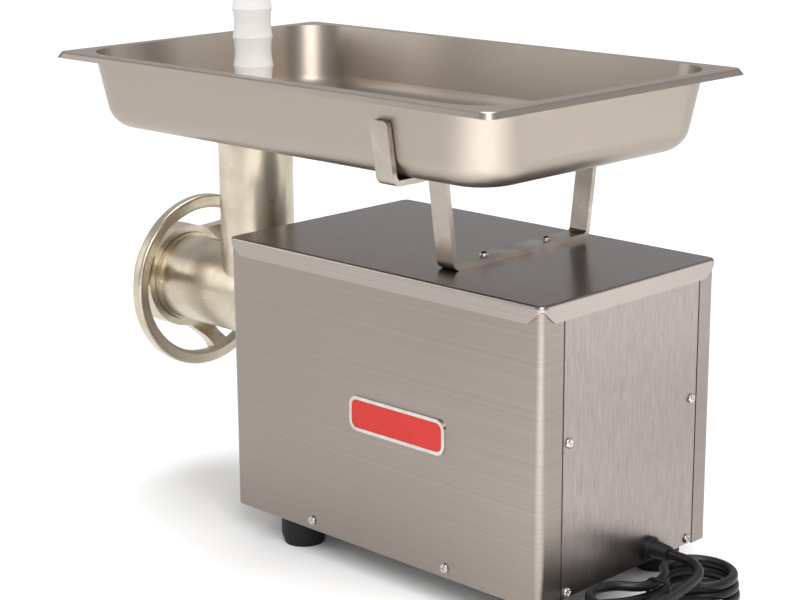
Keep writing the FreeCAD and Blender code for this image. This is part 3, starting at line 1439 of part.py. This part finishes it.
def make_cord_fittings():
    keep(turned("gland_x", "rear_y", "gland_height", "Y", [
        ("0", "-(gauge + gland_nut)"), ("gland_radius", "-(gauge + gland_nut)"), ("gland_radius", "-gauge"),
        ("gland_shank", "-gauge"), ("gland_shank", "0"), ("gland_radius", "0"),
        ("gland_radius", "gland_flange - gauge"), ("gland_radius - gauge", "gland_flange"),
        ("gland_radius*0.8", "gland_flange"), ("cord_radius*1.45", "gland_flange + gland_boot"),
        ("0", "gland_flange + gland_boot")]), "cord_gland")
    low = "cord_floor + cord_pitch/2 - cord_radius - tie_fit"
    high = "cord_floor + 2.5*cord_pitch + cord_radius + tie_fit"
    span = "2*(waist_half + cord_radius + tie_fit)"
    band = slab("hank_x", "hank_y", f"{low} - tie_thick", "tie_width", f"{span} + 2*tie_thick",
                f"{high} - ({low}) + 2*tie_thick")
    hole = slab("hank_x", "hank_y", low, "2*tie_width", span, f"{high} - ({low})")
    along_x = lambda edge: runs_along(edge, Vector(1, 0, 0))
    band = round_edges(band, "cord_radius + tie_thick", along_x)
    keep(cut(band, round_edges(hole, "cord_radius", along_x)), "cord_tie")
    start = "hank_x - far_reach - 2*fan_far + fold_radius + tail_run + 2*cord_radius"
    body_x = f"{start} + plug_boot"
    body = slab(f"{body_x} + plug_length/2", "plug_y", "plug_z - plug_half_height", "plug_length",
                "2*plug_half_width", "2*plug_half_height")
    body = round_edges(body, "plug_round", lambda edge: runs_along(edge, Vector(1, 0, 0)))
    boot = cone(start, "plug_y", "plug_z", "cord_radius*1.3", "plug_boot_radius", "plug_boot", "X")
    keep(fuse(body, boot), "plug_body")
    face = f"{body_x} + plug_length"
    blades = [box(face, f"plug_y + {side}*blade_half_pitch - blade_thick/2",
                  "plug_z - blade_width/2 + blade_width/3", "blade_length", "blade_thick", "blade_width")
              for side in SIDES]
    earth = rod(face, "plug_y", "plug_z - earth_drop", "earth_radius", "blade_length + gauge", "X")
    keep(group(*blades, earth), "plug_pins")


make_wrap()
make_lid()
make_rear_panel()
make_base()
make_bracket()
make_badge()
make_tray()
make_head()
make_plate()
make_knife()
make_auger()
make_ring_nut()
make_stomper()
make_gears()
make_gearbox()
make_shafts()
make_motor()
make_electrics()
make_switch()
make_lock_knob()
make_cord()
make_cord_fittings()
doc.recompute()


def check_and_write():
    for thing in doc.Objects:
        if "Invalid" in thing.State or "Error" in thing.State:
            raise RuntimeError(f"{thing.Label} failed: {thing.State}")
    for thing in parts:
        if thing.Shape.isNull() or not thing.Shape.isValid() or not thing.Shape.Solids:
            raise RuntimeError(f"{thing.Label} has no valid shape")
    os.makedirs("parts", exist_ok=True)
    for thing in parts:
        thing.Shape.exportStep(f"parts/{thing.Label}.step")
    print(len(parts), "sub-parts written")


check_and_write()
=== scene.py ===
import math

import bpy
from mathutils import Matrix, Vector


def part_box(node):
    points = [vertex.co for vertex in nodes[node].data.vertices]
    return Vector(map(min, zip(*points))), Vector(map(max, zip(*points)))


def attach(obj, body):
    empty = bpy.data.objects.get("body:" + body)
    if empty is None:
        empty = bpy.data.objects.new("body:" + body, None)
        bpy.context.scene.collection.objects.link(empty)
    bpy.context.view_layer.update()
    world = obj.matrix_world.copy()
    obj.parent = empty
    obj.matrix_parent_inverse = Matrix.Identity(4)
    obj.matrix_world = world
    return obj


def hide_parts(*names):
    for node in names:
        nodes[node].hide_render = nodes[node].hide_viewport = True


# Countertop meat grinder: finishes, mains lead, studio and camera. Metres, in the model's own frame.

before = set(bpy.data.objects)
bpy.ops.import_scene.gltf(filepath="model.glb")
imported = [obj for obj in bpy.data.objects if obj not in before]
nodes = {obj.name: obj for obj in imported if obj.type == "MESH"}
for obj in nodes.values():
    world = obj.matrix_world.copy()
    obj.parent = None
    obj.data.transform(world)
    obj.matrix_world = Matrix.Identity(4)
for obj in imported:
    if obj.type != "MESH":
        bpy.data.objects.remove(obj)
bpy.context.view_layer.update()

# Camera, from the fit of the tray's rim and the box's edges to the photograph
CAMERA_PLACE = Vector((1.215, 1.22195, 0.660))
CAMERA_AZIMUTH = 134.46
CAMERA_ELEVATION = 14.59
CAMERA_ROLL = -0.38
FOCAL_PIXELS = 1947.0
IMAGE_WIDTH = 800.0
SENSOR_WIDTH = 36.0


def make_camera():
    azimuth = math.radians(CAMERA_AZIMUTH)
    elevation = math.radians(CAMERA_ELEVATION)
    back = Vector((
        math.sin(azimuth) * math.cos(elevation),
        -math.cos(azimuth) * math.cos(elevation),
        math.sin(elevation)))
    level = Vector((0, 0, 1)).cross(back).normalized()
    upright = back.cross(level)
    roll = math.radians(CAMERA_ROLL)
    right = level * math.cos(roll) + upright * math.sin(roll)
    up = upright * math.cos(roll) - level * math.sin(roll)
    data = bpy.data.cameras.new("camera")
    data.sensor_width = SENSOR_WIDTH
    data.lens = FOCAL_PIXELS * SENSOR_WIDTH / IMAGE_WIDTH
    camera = bpy.data.objects.new("camera", data)
    bpy.context.scene.collection.objects.link(camera)
    turn = Matrix((right, up, back)).transposed().to_4x4()
    camera.matrix_world = Matrix.Translation(CAMERA_PLACE) @ turn
    bpy.context.scene.camera = camera


# Shader building blocks
NOISE_LOW = 0.3
NOISE_HIGH = 0.7


def linear(red, green, blue):
    """A linear colour from eight-bit display values."""
    def channel(value):
        value = value / 255.0
        return value / 12.92 if value <= 0.04045 else ((value + 0.055) / 1.055) ** 2.4
    return (channel(red), channel(green), channel(blue), 1.0)


def new_material(name):
    material = bpy.data.materials.new(name)
    material.use_nodes = True
    tree = material.node_tree
    return material, tree, tree.nodes["Principled BSDF"]


def add(tree, kind, **sockets):
    """A node with its named inputs set, or linked where an output is given."""
    made = tree.nodes.new(kind)
    for name, value in sockets.items():
        socket = made.inputs[name.replace("_", " ")]
        if isinstance(value, bpy.types.NodeSocket):
            tree.links.new(value, socket)
        else:
            socket.default_value = value
    return made


def stretched(tree, stretch):
    """Object coordinates in metres, scaled along each axis."""
    place = tree.nodes.new("ShaderNodeTexCoord")
    return add(tree, "ShaderNodeMapping", Vector=place.outputs["Object"], Scale=stretch).outputs[0]


def noise(tree, stretch, detail=3.0, roughness=0.55):
    made = add(tree, "ShaderNodeTexNoise", Vector=stretched(tree, stretch), Scale=1.0, Detail=detail,
               Roughness=roughness)
    return made.outputs["Fac"]


def spread(tree, value, low, high, to_low, to_high):
    """A value from one range mapped to another, held at its ends."""
    made = add(tree, "ShaderNodeMapRange", Value=value)
    made.inputs["From Min"].default_value = low
    made.inputs["From Max"].default_value = high
    made.inputs["To Min"].default_value = to_low
    made.inputs["To Max"].default_value = to_high
    return made.outputs[0]


def steady(tree, value, to_low, to_high):
    """A noise mapped from the middle range that most of it lies in."""
    return spread(tree, value, NOISE_LOW, NOISE_HIGH, to_low, to_high)


def even(scale):
    """One scale for all three axes."""
    return (scale, scale, scale)


def blend(tree, factor, first, second):
    """A mix of two colours by a factor."""
    made = tree.nodes.new("ShaderNodeMix")
    made.data_type = "RGBA"
    for socket, value in ((made.inputs[0], factor), (made.inputs[6], first), (made.inputs[7], second)):
        if isinstance(value, bpy.types.NodeSocket):
            tree.links.new(value, socket)
        else:
            socket.default_value = value
    return made.outputs[2]


def bump(tree, shader, height, strength, distance):
    made = add(tree, "ShaderNodeBump", Height=height, Strength=strength, Distance=distance)
    tree.links.new(made.outputs[0], shader.inputs["Normal"])


# Metals. Gloss is how far the roughness goes below and above its middle; heights are in metres.
COARSE_STREAKS = 0.31
FINE_SHARE = 0.5
SMUDGE_SCALE = 6.0
SMUDGE_LOW = 0.35
SMUDGE_HIGH = 0.75
UPRIGHT = 0.5
FLAT = 0.95
BRUSHED_GLOSS = (-0.04, 0.06)
STREAK_HEIGHT = 0.0001
MOTTLE_SCALE = 38.0
CAST_GLOSS = (0.08, -0.06)
SAND_HEIGHT = 0.0003
MARK_SCALE = 90.0
MARK_SHADE = 0.8
MARK_LOW = 0.4
BRIGHT_GLOSS = (0.0, 0.14)
MARK_RELIEF = 0.05
MARK_HEIGHT = 0.0002


def brushed(name, dark, light, grain, rough, smudge=0.2, relief=0.1, painted_top_shade=None):
    """Brushed sheet: fine streaks along one direction in tone, roughness and relief, and soft smudges.

    Where top tones are given, faces that look up take them instead of the dark and light tones: painted
    shade on the upward faces.
    """
    material, tree, shader = new_material(name)
    fine = noise(tree, grain, detail=2.0, roughness=0.6)
    drawn = noise(tree, tuple(step * COARSE_STREAKS for step in grain), detail=3.0, roughness=0.65)
    cloud = noise(tree, even(SMUDGE_SCALE), detail=3.0)
    streaks = add(tree, "ShaderNodeMath", Value=fine)
    streaks.operation = "MULTIPLY_ADD"
    streaks.inputs[1].default_value = FINE_SHARE
    tree.links.new(spread(tree, drawn, 0.0, 1.0, 0.0, 1.0 - FINE_SHARE), streaks.inputs[2])
    share = steady(tree, streaks.outputs[0], 0.0, 1.0)
    tone = blend(tree, share, dark, light)
    wear_and_top_shade = blend(tree, spread(tree, cloud, SMUDGE_LOW, SMUDGE_HIGH, 0.0, smudge), tone, dark)
    # Painted shade: faces that look up are blended to the darker top tones.
    if painted_top_shade:
        facing = tree.nodes.new("ShaderNodeNewGeometry").outputs["Normal"]
        rise = add(tree, "ShaderNodeSeparateXYZ", Vector=facing).outputs["Z"]
        top_shade_mask = spread(tree, rise, UPRIGHT, FLAT, 0.0, 1.0)
        wear_and_top_shade = blend(tree, top_shade_mask, wear_and_top_shade, blend(tree, share, *painted_top_shade))
    tree.links.new(wear_and_top_shade, shader.inputs["Base Color"])
    gloss = steady(tree, streaks.outputs[0], rough + BRUSHED_GLOSS[0], rough + BRUSHED_GLOSS[1])
    tree.links.new(gloss, shader.inputs["Roughness"])
    shader.inputs["Metallic"].default_value = 1.0
    bump(tree, shader, streaks.outputs[0], relief, STREAK_HEIGHT)
    return material


def cast_metal(name, dark, light, rough, grain_scale=420.0, relief=0.25):
    """Tinned or cast metal: soft mottling, a fine sandy relief and slightly varied gloss."""
    material, tree, shader = new_material(name)
    mottle = noise(tree, even(MOTTLE_SCALE), detail=4.0, roughness=0.6)
    sand = noise(tree, even(grain_scale), detail=2.0)
    tone = blend(tree, steady(tree, mottle, 0.0, 1.0), dark, light)
    tree.links.new(tone, shader.inputs["Base Color"])
    gloss = steady(tree, mottle, rough + CAST_GLOSS[0], rough + CAST_GLOSS[1])
    tree.links.new(gloss, shader.inputs["Roughness"])
    shader.inputs["Metallic"].default_value = 1.0
    bump(tree, shader, sand, relief, SAND_HEIGHT)
    return material


def bright_metal(name, tone, rough):
    """Plated or turned metal: nearly plain, with faint handling marks in its gloss."""
    material, tree, shader = new_material(name)
    marks = noise(tree, even(MARK_SCALE), detail=5.0, roughness=0.7)
    shade = tuple(channel * MARK_SHADE for channel in tone[:3]) + (1.0,)
    marked = blend(tree, spread(tree, marks, MARK_LOW, NOISE_HIGH, 0.0, 1.0), tone, shade)
    tree.links.new(marked, shader.inputs["Base Color"])
    gloss = steady(tree, marks, rough + BRIGHT_GLOSS[0], rough + BRIGHT_GLOSS[1])
    tree.links.new(gloss, shader.inputs["Roughness"])
    shader.inputs["Metallic"].default_value = 1.0
    bump(tree, shader, marks, MARK_RELIEF, MARK_HEIGHT)
    return material


# Plastics, rubber and enamel
TONE_SCALE = 24.0
MOULDED_GLOSS = (-0.05, 0.08)
MOULDED_SPECULAR = 0.3
MOULDED_DEPTHS = (0.004, 0.003, 0.0025)
GRAIN_HEIGHT = 0.0002
RIPPLE_SCALE = 900.0
ENAMEL_GLOSS = (0.22, 0.32)
ENAMEL_SPECULAR = 0.25
COAT_WEIGHT = 0.1
COAT_ROUGHNESS = 0.08
RIPPLE_RELIEF = 0.03
RIPPLE_HEIGHT = 0.0001


def moulded(name, dark, light, rough, grain_scale=700.0, relief=0.15, subsurface=0.0):
    """Moulded plastic or rubber: a fine surface grain and a slight change of tone."""
    material, tree, shader = new_material(name)
    change = noise(tree, even(TONE_SCALE), detail=3.0)
    grain = noise(tree, even(grain_scale), detail=2.0)
    tone = blend(tree, steady(tree, change, 0.0, 1.0), dark, light)
    tree.links.new(tone, shader.inputs["Base Color"])
    gloss = steady(tree, grain, rough + MOULDED_GLOSS[0], rough + MOULDED_GLOSS[1])
    tree.links.new(gloss, shader.inputs["Roughness"])
    shader.inputs["Specular IOR Level"].default_value = MOULDED_SPECULAR
    shader.inputs["Subsurface Weight"].default_value = subsurface
    shader.inputs["Subsurface Radius"].default_value = MOULDED_DEPTHS
    shader.inputs["Subsurface Scale"].default_value = 1.0
    bump(tree, shader, grain, relief, GRAIN_HEIGHT)
    return material


def enamel(name, dark, light):
    """Glossy enamel with a clear coat and a faint orange-peel ripple."""
    material, tree, shader = new_material(name)
    ripple = noise(tree, even(RIPPLE_SCALE), detail=2.0)
    tree.links.new(blend(tree, ripple, dark, light), shader.inputs["Base Color"])
    tree.links.new(steady(tree, ripple, *ENAMEL_GLOSS), shader.inputs["Roughness"])
    shader.inputs["Specular IOR Level"].default_value = ENAMEL_SPECULAR
    shader.inputs["Coat Weight"].default_value = COAT_WEIGHT
    shader.inputs["Coat Roughness"].default_value = COAT_ROUGHNESS
    bump(tree, shader, ripple, RIPPLE_RELIEF, RIPPLE_HEIGHT)
    return material


# Grain runs along the axes with the small numbers
ALONG_FLAT = (0.9, 0.9, 1500.0)
SHORT_UP = (1800.0, 1800.0, 120.0)
ALONG_Y = (1500.0, 0.9, 1500.0)
SATIN = even(700.0)
# Painted shade: darker tones for the lid's upward faces, standing in for the dark surroundings they
# reflect.
LID_TOP_PAINTED_SHADE = (linear(116, 105, 104), linear(150, 139, 137))

# Each finish: its maker, then the maker's values in the order that it takes them
FINISHES = {
    "side_steel": (brushed, linear(131, 122, 116), linear(152, 143, 136), ALONG_FLAT, 0.3),
    "panel_steel": (brushed, linear(132, 123, 120), linear(168, 158, 155), SHORT_UP, 0.3, 0.2, 0.2),
    # The lid's upward faces take painted shade.
    "lid_steel": (
        brushed, linear(146, 137, 132), linear(166, 157, 151), ALONG_Y, 0.22, 0.2, 0.1, LID_TOP_PAINTED_SHADE,
    ),
    "tray_steel": (brushed, linear(156, 146, 136), linear(162, 152, 142), SATIN, 0.36, 0.12, 0.02),
    "bar_steel": (cast_metal, linear(156, 147, 138), linear(172, 163, 153), 0.3, 600.0, 0.08),
    "tinned_cast": (cast_metal, linear(184, 173, 155), linear(201, 191, 174), 0.32, 420.0, 0.14),
    "bright_screw": (bright_metal, linear(196, 191, 186), 0.18),
    "plain_steel": (bright_metal, linear(176, 174, 170), 0.3),
    "aluminium": (cast_metal, linear(150, 150, 150), linear(176, 176, 175), 0.45),
    "copper": (bright_metal, linear(190, 110, 66), 0.35),
    "brass": (bright_metal, linear(212, 182, 112), 0.24),
    "black_rubber": (moulded, linear(16, 15, 15), linear(27, 25, 25), 0.6),
    "black_plastic": (moulded, linear(17, 17, 18), linear(27, 27, 28), 0.42, 900.0, 0.1),
    "cord_jacket": (moulded, linear(14, 14, 15), linear(24, 24, 25), 0.36, 600.0, 0.08),
    "white_nylon": (moulded, linear(247, 244, 240), linear(252, 250, 247), 0.38, 260.0, 0.1, 0.12),
    "red_enamel": (enamel, linear(176, 30, 22), linear(182, 34, 25)),
    "motor_enamel": (enamel, linear(52, 58, 64), linear(64, 70, 76)),
}

WEARS = {
    "side_steel": ["housing_wrap"],
    "panel_steel": ["rear_panel"],
    "lid_steel": ["lid"],
    "tray_steel": ["feed_tray"],
    "bar_steel": ["tray_bracket"],
    "tinned_cast": ["head_casting", "ring_nut_handwheel", "auger"],
    "bright_screw": ["rear_panel_screws", "side_screws", "bracket_screws", "foot_screws", "hub_screws",
                     "gearbox_screws", "motor_screws", "badge_frame"],
    "plain_steel": ["rear_rails", "base_plate", "cutting_plate", "knife", "plate_key_pin", "output_shaft",
                    "output_gear", "intermediate_shaft", "intermediate_pinion", "intermediate_gear",
                    "rotor_shaft", "rotor_core", "motor_pinion", "stator_core", "output_bearings",
                    "intermediate_bearings", "motor_bearings", "capacitor_clip"],
    "aluminium": ["gearbox_case", "gearbox_cover", "motor_front_bell", "motor_rear_bell", "motor_cradle",
                  "run_capacitor"],
    "copper": ["stator_windings"],
    "brass": ["plug_pins", "thrust_washer"],
    "black_rubber": ["rubber_feet", "shaft_seal"],
    "black_plastic": ["terminal_block", "switch_body", "switch_rocker", "lock_knob", "cord_gland",
                      "plug_body", "cord_tie", "cooling_fan"],
    "white_nylon": ["stomper"],
    "red_enamel": ["badge_inlay"],
    "motor_enamel": ["motor_frame"],
}


def dress_nodes():
    """Gives every model node its finish."""
    finishes = {name: make(name, *values) for name, (make, *values) in FINISHES.items()}
    for name, wearers in WEARS.items():
        for wearer in wearers:
            for slot in nodes[wearer].material_slots:
                slot.material = finishes[name]
    return finishes


# Pan head screws with a cross recess, in place of the plain solids
HEAD_RADIUS = 0.0042
HEAD_HEIGHT = 0.0026
SHANK_RADIUS = 0.0025
RECESS_HALF = 0.00075
RECESS_REACH = 0.0026
RECESS_DEPTH = 0.0013
RECESS_WALL_SLANT = 1.6
RECESS_END_SLANT = 3.0
CROWN_DROP = 0.5
CROWN_POWER = 4
HEAD_RINGS = 16
HEAD_SIDES = 48
SIDE_SHANK = 0.006
PANEL_TURN = 0.5
PANEL_TURN_STEP = 0.9
SIDE_TURN = 0.2
SIDE_TURN_STEP = 1.1


def recess_depth(across, along):
    """How deep the cross is cut at a point of the head, with slanted walls."""
    def arm(a, b):
        wall = min(max(RECESS_WALL_SLANT * (1.0 - abs(a) / RECESS_HALF), 0.0), 1.0)
        end = min(max(RECESS_END_SLANT * (1.0 - abs(b) / RECESS_REACH), 0.0), 1.0)
        return wall * end
    return RECESS_DEPTH * max(arm(across, along), arm(along, across))


def head_rings(shank_depth):
    """Rings of the screw from the crown outwards and down: radius, height, whether the cross cuts them."""
    rings = []
    for step in range(1, HEAD_RINGS + 1):
        share = step / HEAD_RINGS
        height = HEAD_HEIGHT * (1.0 - CROWN_DROP * share ** CROWN_POWER)
        rings.append((HEAD_RADIUS * share, height, True))
    rings.append((HEAD_RADIUS, 0.0, False))
    rings.append((SHANK_RADIUS, 0.0, False))
    rings.append((SHANK_RADIUS, -shank_depth, False))
    return rings


def add_screw(verts, faces, base, out, side, shank_depth, turn):
    """One screw whose head stands on the base point along out."""
    up = out.cross(side)
    start = len(verts)
    verts.append(base + out * (HEAD_HEIGHT - RECESS_DEPTH))
    rings = head_rings(shank_depth)
    for radius, height, is_cut in rings:
        for n in range(HEAD_SIDES):
            angle = 2.0 * math.pi * n / HEAD_SIDES
            across = radius * math.cos(angle)
            along = radius * math.sin(angle)
            cut = recess_depth(across, along) if is_cut else 0.0
            spun = angle + turn
            verts.append(base + side * (radius * math.cos(spun)) + up * (radius * math.sin(spun))
                         + out * (height - cut))
    for n in range(HEAD_SIDES):
        after = (n + 1) % HEAD_SIDES
        faces.append((start, start + 1 + n, start + 1 + after))
        for ring in range(len(rings) - 1):
            low = start + 1 + ring * HEAD_SIDES
            high = low + HEAD_SIDES
            faces.append((low + n, high + n, high + after, low + after))
    last = start + 1 + (len(rings) - 1) * HEAD_SIDES
    faces.append(tuple(last + n for n in reversed(range(HEAD_SIDES))))


def make_screws(name, node, places, finishes):
    """The screws of one node: base, outward direction, direction across, shank depth, turn of each."""
    verts = []
    faces = []
    for place in places:
        add_screw(verts, faces, *place)
    mesh = bpy.data.meshes.new(name)
    mesh.from_pydata(verts, [], faces)
    mesh.shade_smooth()
    mesh.materials.append(finishes["bright_screw"])
    piece = bpy.data.objects.new(name, mesh)
    bpy.context.scene.collection.objects.link(piece)
    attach(piece, "housing")
    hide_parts(node)


def make_panel_screws(finishes):
    low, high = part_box("rear_panel_screws")
    shank = high.y - low.y - HEAD_HEIGHT
    out = Vector((0, 1, 0))
    side = Vector((1, 0, 0))
    places = []
    for x in (low.x + HEAD_RADIUS, high.x - HEAD_RADIUS):
        for z in (low.z + HEAD_RADIUS, high.z - HEAD_RADIUS):
            turn = PANEL_TURN + PANEL_TURN_STEP * len(places)
            places.append((Vector((x, high.y - HEAD_HEIGHT, z)), out, side, shank, turn))
    make_screws("rear_screws", "rear_panel_screws", places, finishes)


def make_side_screws(finishes):
    low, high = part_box("side_screws")
    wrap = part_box("housing_wrap")[1].x
    height = (low.z + high.z) / 2
    places = []
    for out in (Vector((1, 0, 0)), Vector((-1, 0, 0))):
        for y in (low.y + HEAD_RADIUS, high.y - HEAD_RADIUS):
            turn = SIDE_TURN + SIDE_TURN_STEP * len(places)
            places.append((Vector((out.x * wrap, y, height)), out, Vector((0, 1, 0)), SIDE_SHANK, turn))
    make_screws("flank_screws", "side_screws", places, finishes)


# Mains lead in a hank, along the same route as its solid
CORD_RADIUS = 0.0042
CORD_PITCH = 0.0093
CORD_FLOOR = 0.0043
FOLD_RADIUS = 0.029
WAIST_HALF = 0.006
HANK_X = 0.004
HANK_CLEAR = 0.004
NEAR_REACH = 0.073
FAN_NEAR = 0.024
FAR_REACH = 0.084
FAN_FAR = 0.002
LAYERS = 3
FOLD_STEPS = 7
SWEEP_STEPS = 2
EXIT_RUN = 0.009
BEND_REACH = 0.0212
BEND_CORNER = 0.0078
BEND_FALLS = (0.0005, 0.0018, 0.0036)
ENTRY_RUN = 0.018
ENTRY_RISE = 0.0005
TAIL_RUN = 0.046
TAIL_START = 0.0125
TAIL_CROSS = 0.0330
PLUG_RUN = 0.006
CORD_BEVEL_STEPS = 5
CORD_SPLINE_STEPS = 6


def around(centre_x, centre_y, radius, start, turn, steps):
    """Control points whose spline follows an arc, from a start angle through a turn, in radians."""
    step = turn / steps
    reach = radius / math.cos(step / 2)
    angles = [start + step * (n + 0.5) for n in range(steps)]
    return [(centre_x + reach * math.cos(a), centre_y + reach * math.sin(a)) for a in angles]


def fold_shape(reach):
    """The sweep's radius at the waist and the lean where it meets a fold, for a loop of this reach."""
    along = reach - FOLD_RADIUS
    sweep = (along ** 2 + WAIST_HALF ** 2 - FOLD_RADIUS ** 2) / (2 * (FOLD_RADIUS - WAIST_HALF))
    return sweep, math.asin(along / (sweep + FOLD_RADIUS))


def hank_points(hank_y):
    """Control points of the loops: folds left and right, drawn in at the waist, one layer lower a loop."""
    quarter = math.pi / 2
    points = []
    for layer in range(LAYERS, 0, -1):
        near_reach = NEAR_REACH + FAN_NEAR * (LAYERS - layer)
        far_reach = FAR_REACH + FAN_FAR * (LAYERS - layer)
        near_sweep, near_lean = fold_shape(near_reach)
        far_sweep, far_lean = fold_shape(far_reach)
        first = layer == LAYERS
        last = layer == 1
        lean_in = 0.0 if first else near_lean
        lean_out = 0.0 if last else far_lean
        plan = around(HANK_X + near_reach - FOLD_RADIUS, hank_y, FOLD_RADIUS, quarter + lean_in,
                      -(math.pi + lean_in + near_lean), FOLD_STEPS)
        plan += around(HANK_X, hank_y - WAIST_HALF - near_sweep, near_sweep, quarter - near_lean,
                       near_lean, SWEEP_STEPS)
        plan += around(HANK_X, hank_y - WAIST_HALF - far_sweep, far_sweep, quarter,
                       far_lean, SWEEP_STEPS)
        plan += around(HANK_X - far_reach + FOLD_RADIUS, hank_y, FOLD_RADIUS, -quarter + far_lean,
                       -(math.pi + far_lean + lean_out), FOLD_STEPS)
        right = HANK_X + near_reach
        left = HANK_X - far_reach
        middle = len(plan) // 2
        for n, (x, y) in enumerate(plan):
            fallen = (right - x) / (right - left) if y < hank_y else float(n > middle)
            fallen = min(max(fallen, 0.0), 1.0)
            points.append((x, y, CORD_FLOOR + CORD_PITCH * (layer - fallen)))
        if not last:
            next_sweep, next_lean = fold_shape(near_reach + FAN_NEAR)
            level = CORD_FLOOR + CORD_PITCH * (layer - 1)
            far = around(HANK_X, hank_y + WAIST_HALF + far_sweep, far_sweep, -quarter - far_lean,
                         far_lean, SWEEP_STEPS)
            far += around(HANK_X, hank_y + WAIST_HALF + next_sweep, next_sweep, -quarter,
                          next_lean, SWEEP_STEPS)
            points += [(x, y, level) for x, y in far]
    return points


def make_cord(finishes):
    gland_low, gland_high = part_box("cord_gland")
    plug_low, plug_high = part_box("plug_body")
    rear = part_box("housing_wrap")[1].y
    gland_x = (gland_low.x + gland_high.x) / 2
    gland_z = (gland_low.z + gland_high.z) / 2
    tip = gland_high.y
    hank_y = rear + HANK_CLEAR + CORD_RADIUS + FOLD_RADIUS
    far_line = hank_y + FOLD_RADIUS
    top = CORD_FLOOR + LAYERS * CORD_PITCH
    plug_y = (plug_low.y + plug_high.y) / 2
    plug_z = (plug_low.z + plug_high.z) / 2
    lead = [
        (gland_x, tip, gland_z),
        (gland_x, tip + EXIT_RUN, gland_z),
        (gland_x, far_line - BEND_REACH, gland_z - BEND_FALLS[0]),
        (gland_x + BEND_CORNER, far_line - BEND_CORNER, gland_z - BEND_FALLS[1]),
        (gland_x + BEND_REACH, far_line, gland_z - BEND_FALLS[2]),
        (HANK_X + NEAR_REACH - FOLD_RADIUS - ENTRY_RUN, far_line, top + ENTRY_RISE),
    ]
    tail_x = plug_low.x - 2 * CORD_RADIUS - TAIL_RUN
    tail = [
        (tail_x + TAIL_START, far_line, CORD_FLOOR),
        (tail_x + TAIL_CROSS, plug_y, plug_z),
        (plug_low.x - PLUG_RUN, plug_y, plug_z),
        (plug_low.x, plug_y, plug_z),
    ]
    route = lead + hank_points(hank_y) + tail
    data = bpy.data.curves.new("mains_lead", "CURVE")
    data.dimensions = "3D"
    data.bevel_depth = CORD_RADIUS
    data.bevel_resolution = CORD_BEVEL_STEPS
    data.resolution_u = CORD_SPLINE_STEPS
    spline = data.splines.new("NURBS")
    spline.points.add(len(route) - 1)
    for point, place in zip(spline.points, route):
        point.co = (*place, 1.0)
    spline.order_u = 3
    spline.use_endpoint_u = True
    data.materials.append(finishes["cord_jacket"])
    cord = bpy.data.objects.new("mains_lead", data)
    bpy.context.scene.collection.objects.link(cord)
    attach(cord, "housing")
    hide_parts("cord_hank")


# Studio
FLOOR_REACH = 12.0
FLOOR_DARK = (0.90, 0.90, 0.90, 1.0)
FLOOR_LIGHT = (0.92, 0.92, 0.92, 1.0)
FLOOR_SCALE = 2.0
FLOOR_ROUGHNESS = 0.7
MIDDLE = (0.0, 0.0, 0.25)
TRAY_MIDDLE = (0.0, -0.1, 0.45)
WORLD_TONE = (1.0, 1.0, 1.0, 1.0)
WORLD_STRENGTH = 0.5
SUN_STRENGTH = 2.3
SUN_ANGLE = 40.0
SUN_ALONG = (0.2, 0.2, -1.0)
# Soft lights: name, place, target, width, height and power
LIGHTS = [
    ("camera_side", (1.2, 1.35, 1.35), TRAY_MIDDLE, 1.2, 0.8, 24.0),
    ("head_side", (1.6, -1.8, 1.1), MIDDLE, 1.2, 1.4, 9.0),
    ("rear_side", (-1.8, 1.9, 0.75), MIDDLE, 1.0, 1.4, 6.0),
]
# Pools of light on the floor: name, place of the lamp, its width, spread in degrees and power
POOLS = [
    ("pool", (0.70, 0.85, 1.20), 0.8, 80.0, 10.0),
    ("rear_pool", (-0.85, 1.05, 0.90), 0.5, 50.0, 1.2),
]


def make_floor():
    material, tree, shader = new_material("pale_floor")
    change = noise(tree, even(FLOOR_SCALE), detail=2.0)
    tree.links.new(blend(tree, change, FLOOR_DARK, FLOOR_LIGHT), shader.inputs["Base Color"])
    shader.inputs["Roughness"].default_value = FLOOR_ROUGHNESS
    reach = FLOOR_REACH
    mesh = bpy.data.meshes.new("floor")
    corners = [(-reach, -reach, 0), (reach, -reach, 0), (reach, reach, 0), (-reach, reach, 0)]
    mesh.from_pydata(corners, [], [(0, 1, 2, 3)])
    mesh.materials.append(material)
    floor = bpy.data.objects.new("floor", mesh)
    bpy.context.scene.collection.objects.link(floor)


def softbox(name, place, target, width, height, power):
    data = bpy.data.lights.new(name, "AREA")
    data.shape = "RECTANGLE"
    data.size = width
    data.size_y = height
    data.energy = power
    light = bpy.data.objects.new(name, data)
    bpy.context.scene.collection.objects.link(light)
    light.location = place
    light.rotation_euler = (Vector(target) - Vector(place)).to_track_quat("-Z", "Y").to_euler()
    return light


def make_studio():
    """Pale floor under a wide sky panel, softboxes on three sides and two pools of light on the floor."""
    make_floor()
    scene = bpy.context.scene
    scene.view_settings.view_transform = "Standard"
    world = bpy.data.worlds.new("studio")
    scene.world = world
    world.use_nodes = True
    background = world.node_tree.nodes["Background"]
    background.inputs["Color"].default_value = WORLD_TONE
    background.inputs["Strength"].default_value = WORLD_STRENGTH
    for light in LIGHTS:
        softbox(*light)
    for name, place, width, angle, power in POOLS:
        pool = softbox(name, place, (place[0], place[1], 0.0), width, width, power)
        pool.data.spread = math.radians(angle)
    sun = bpy.data.lights.new("sky_panel", "SUN")
    sun.energy = SUN_STRENGTH
    sun.angle = math.radians(SUN_ANGLE)
    panel = bpy.data.objects.new("sky_panel", sun)
    panel.rotation_euler = Vector(SUN_ALONG).to_track_quat("-Z", "Y").to_euler()
    scene.collection.objects.link(panel)


make_camera()
finishes = dress_nodes()
make_panel_screws(finishes)
make_side_screws(finishes)
make_cord(finishes)
make_studio()
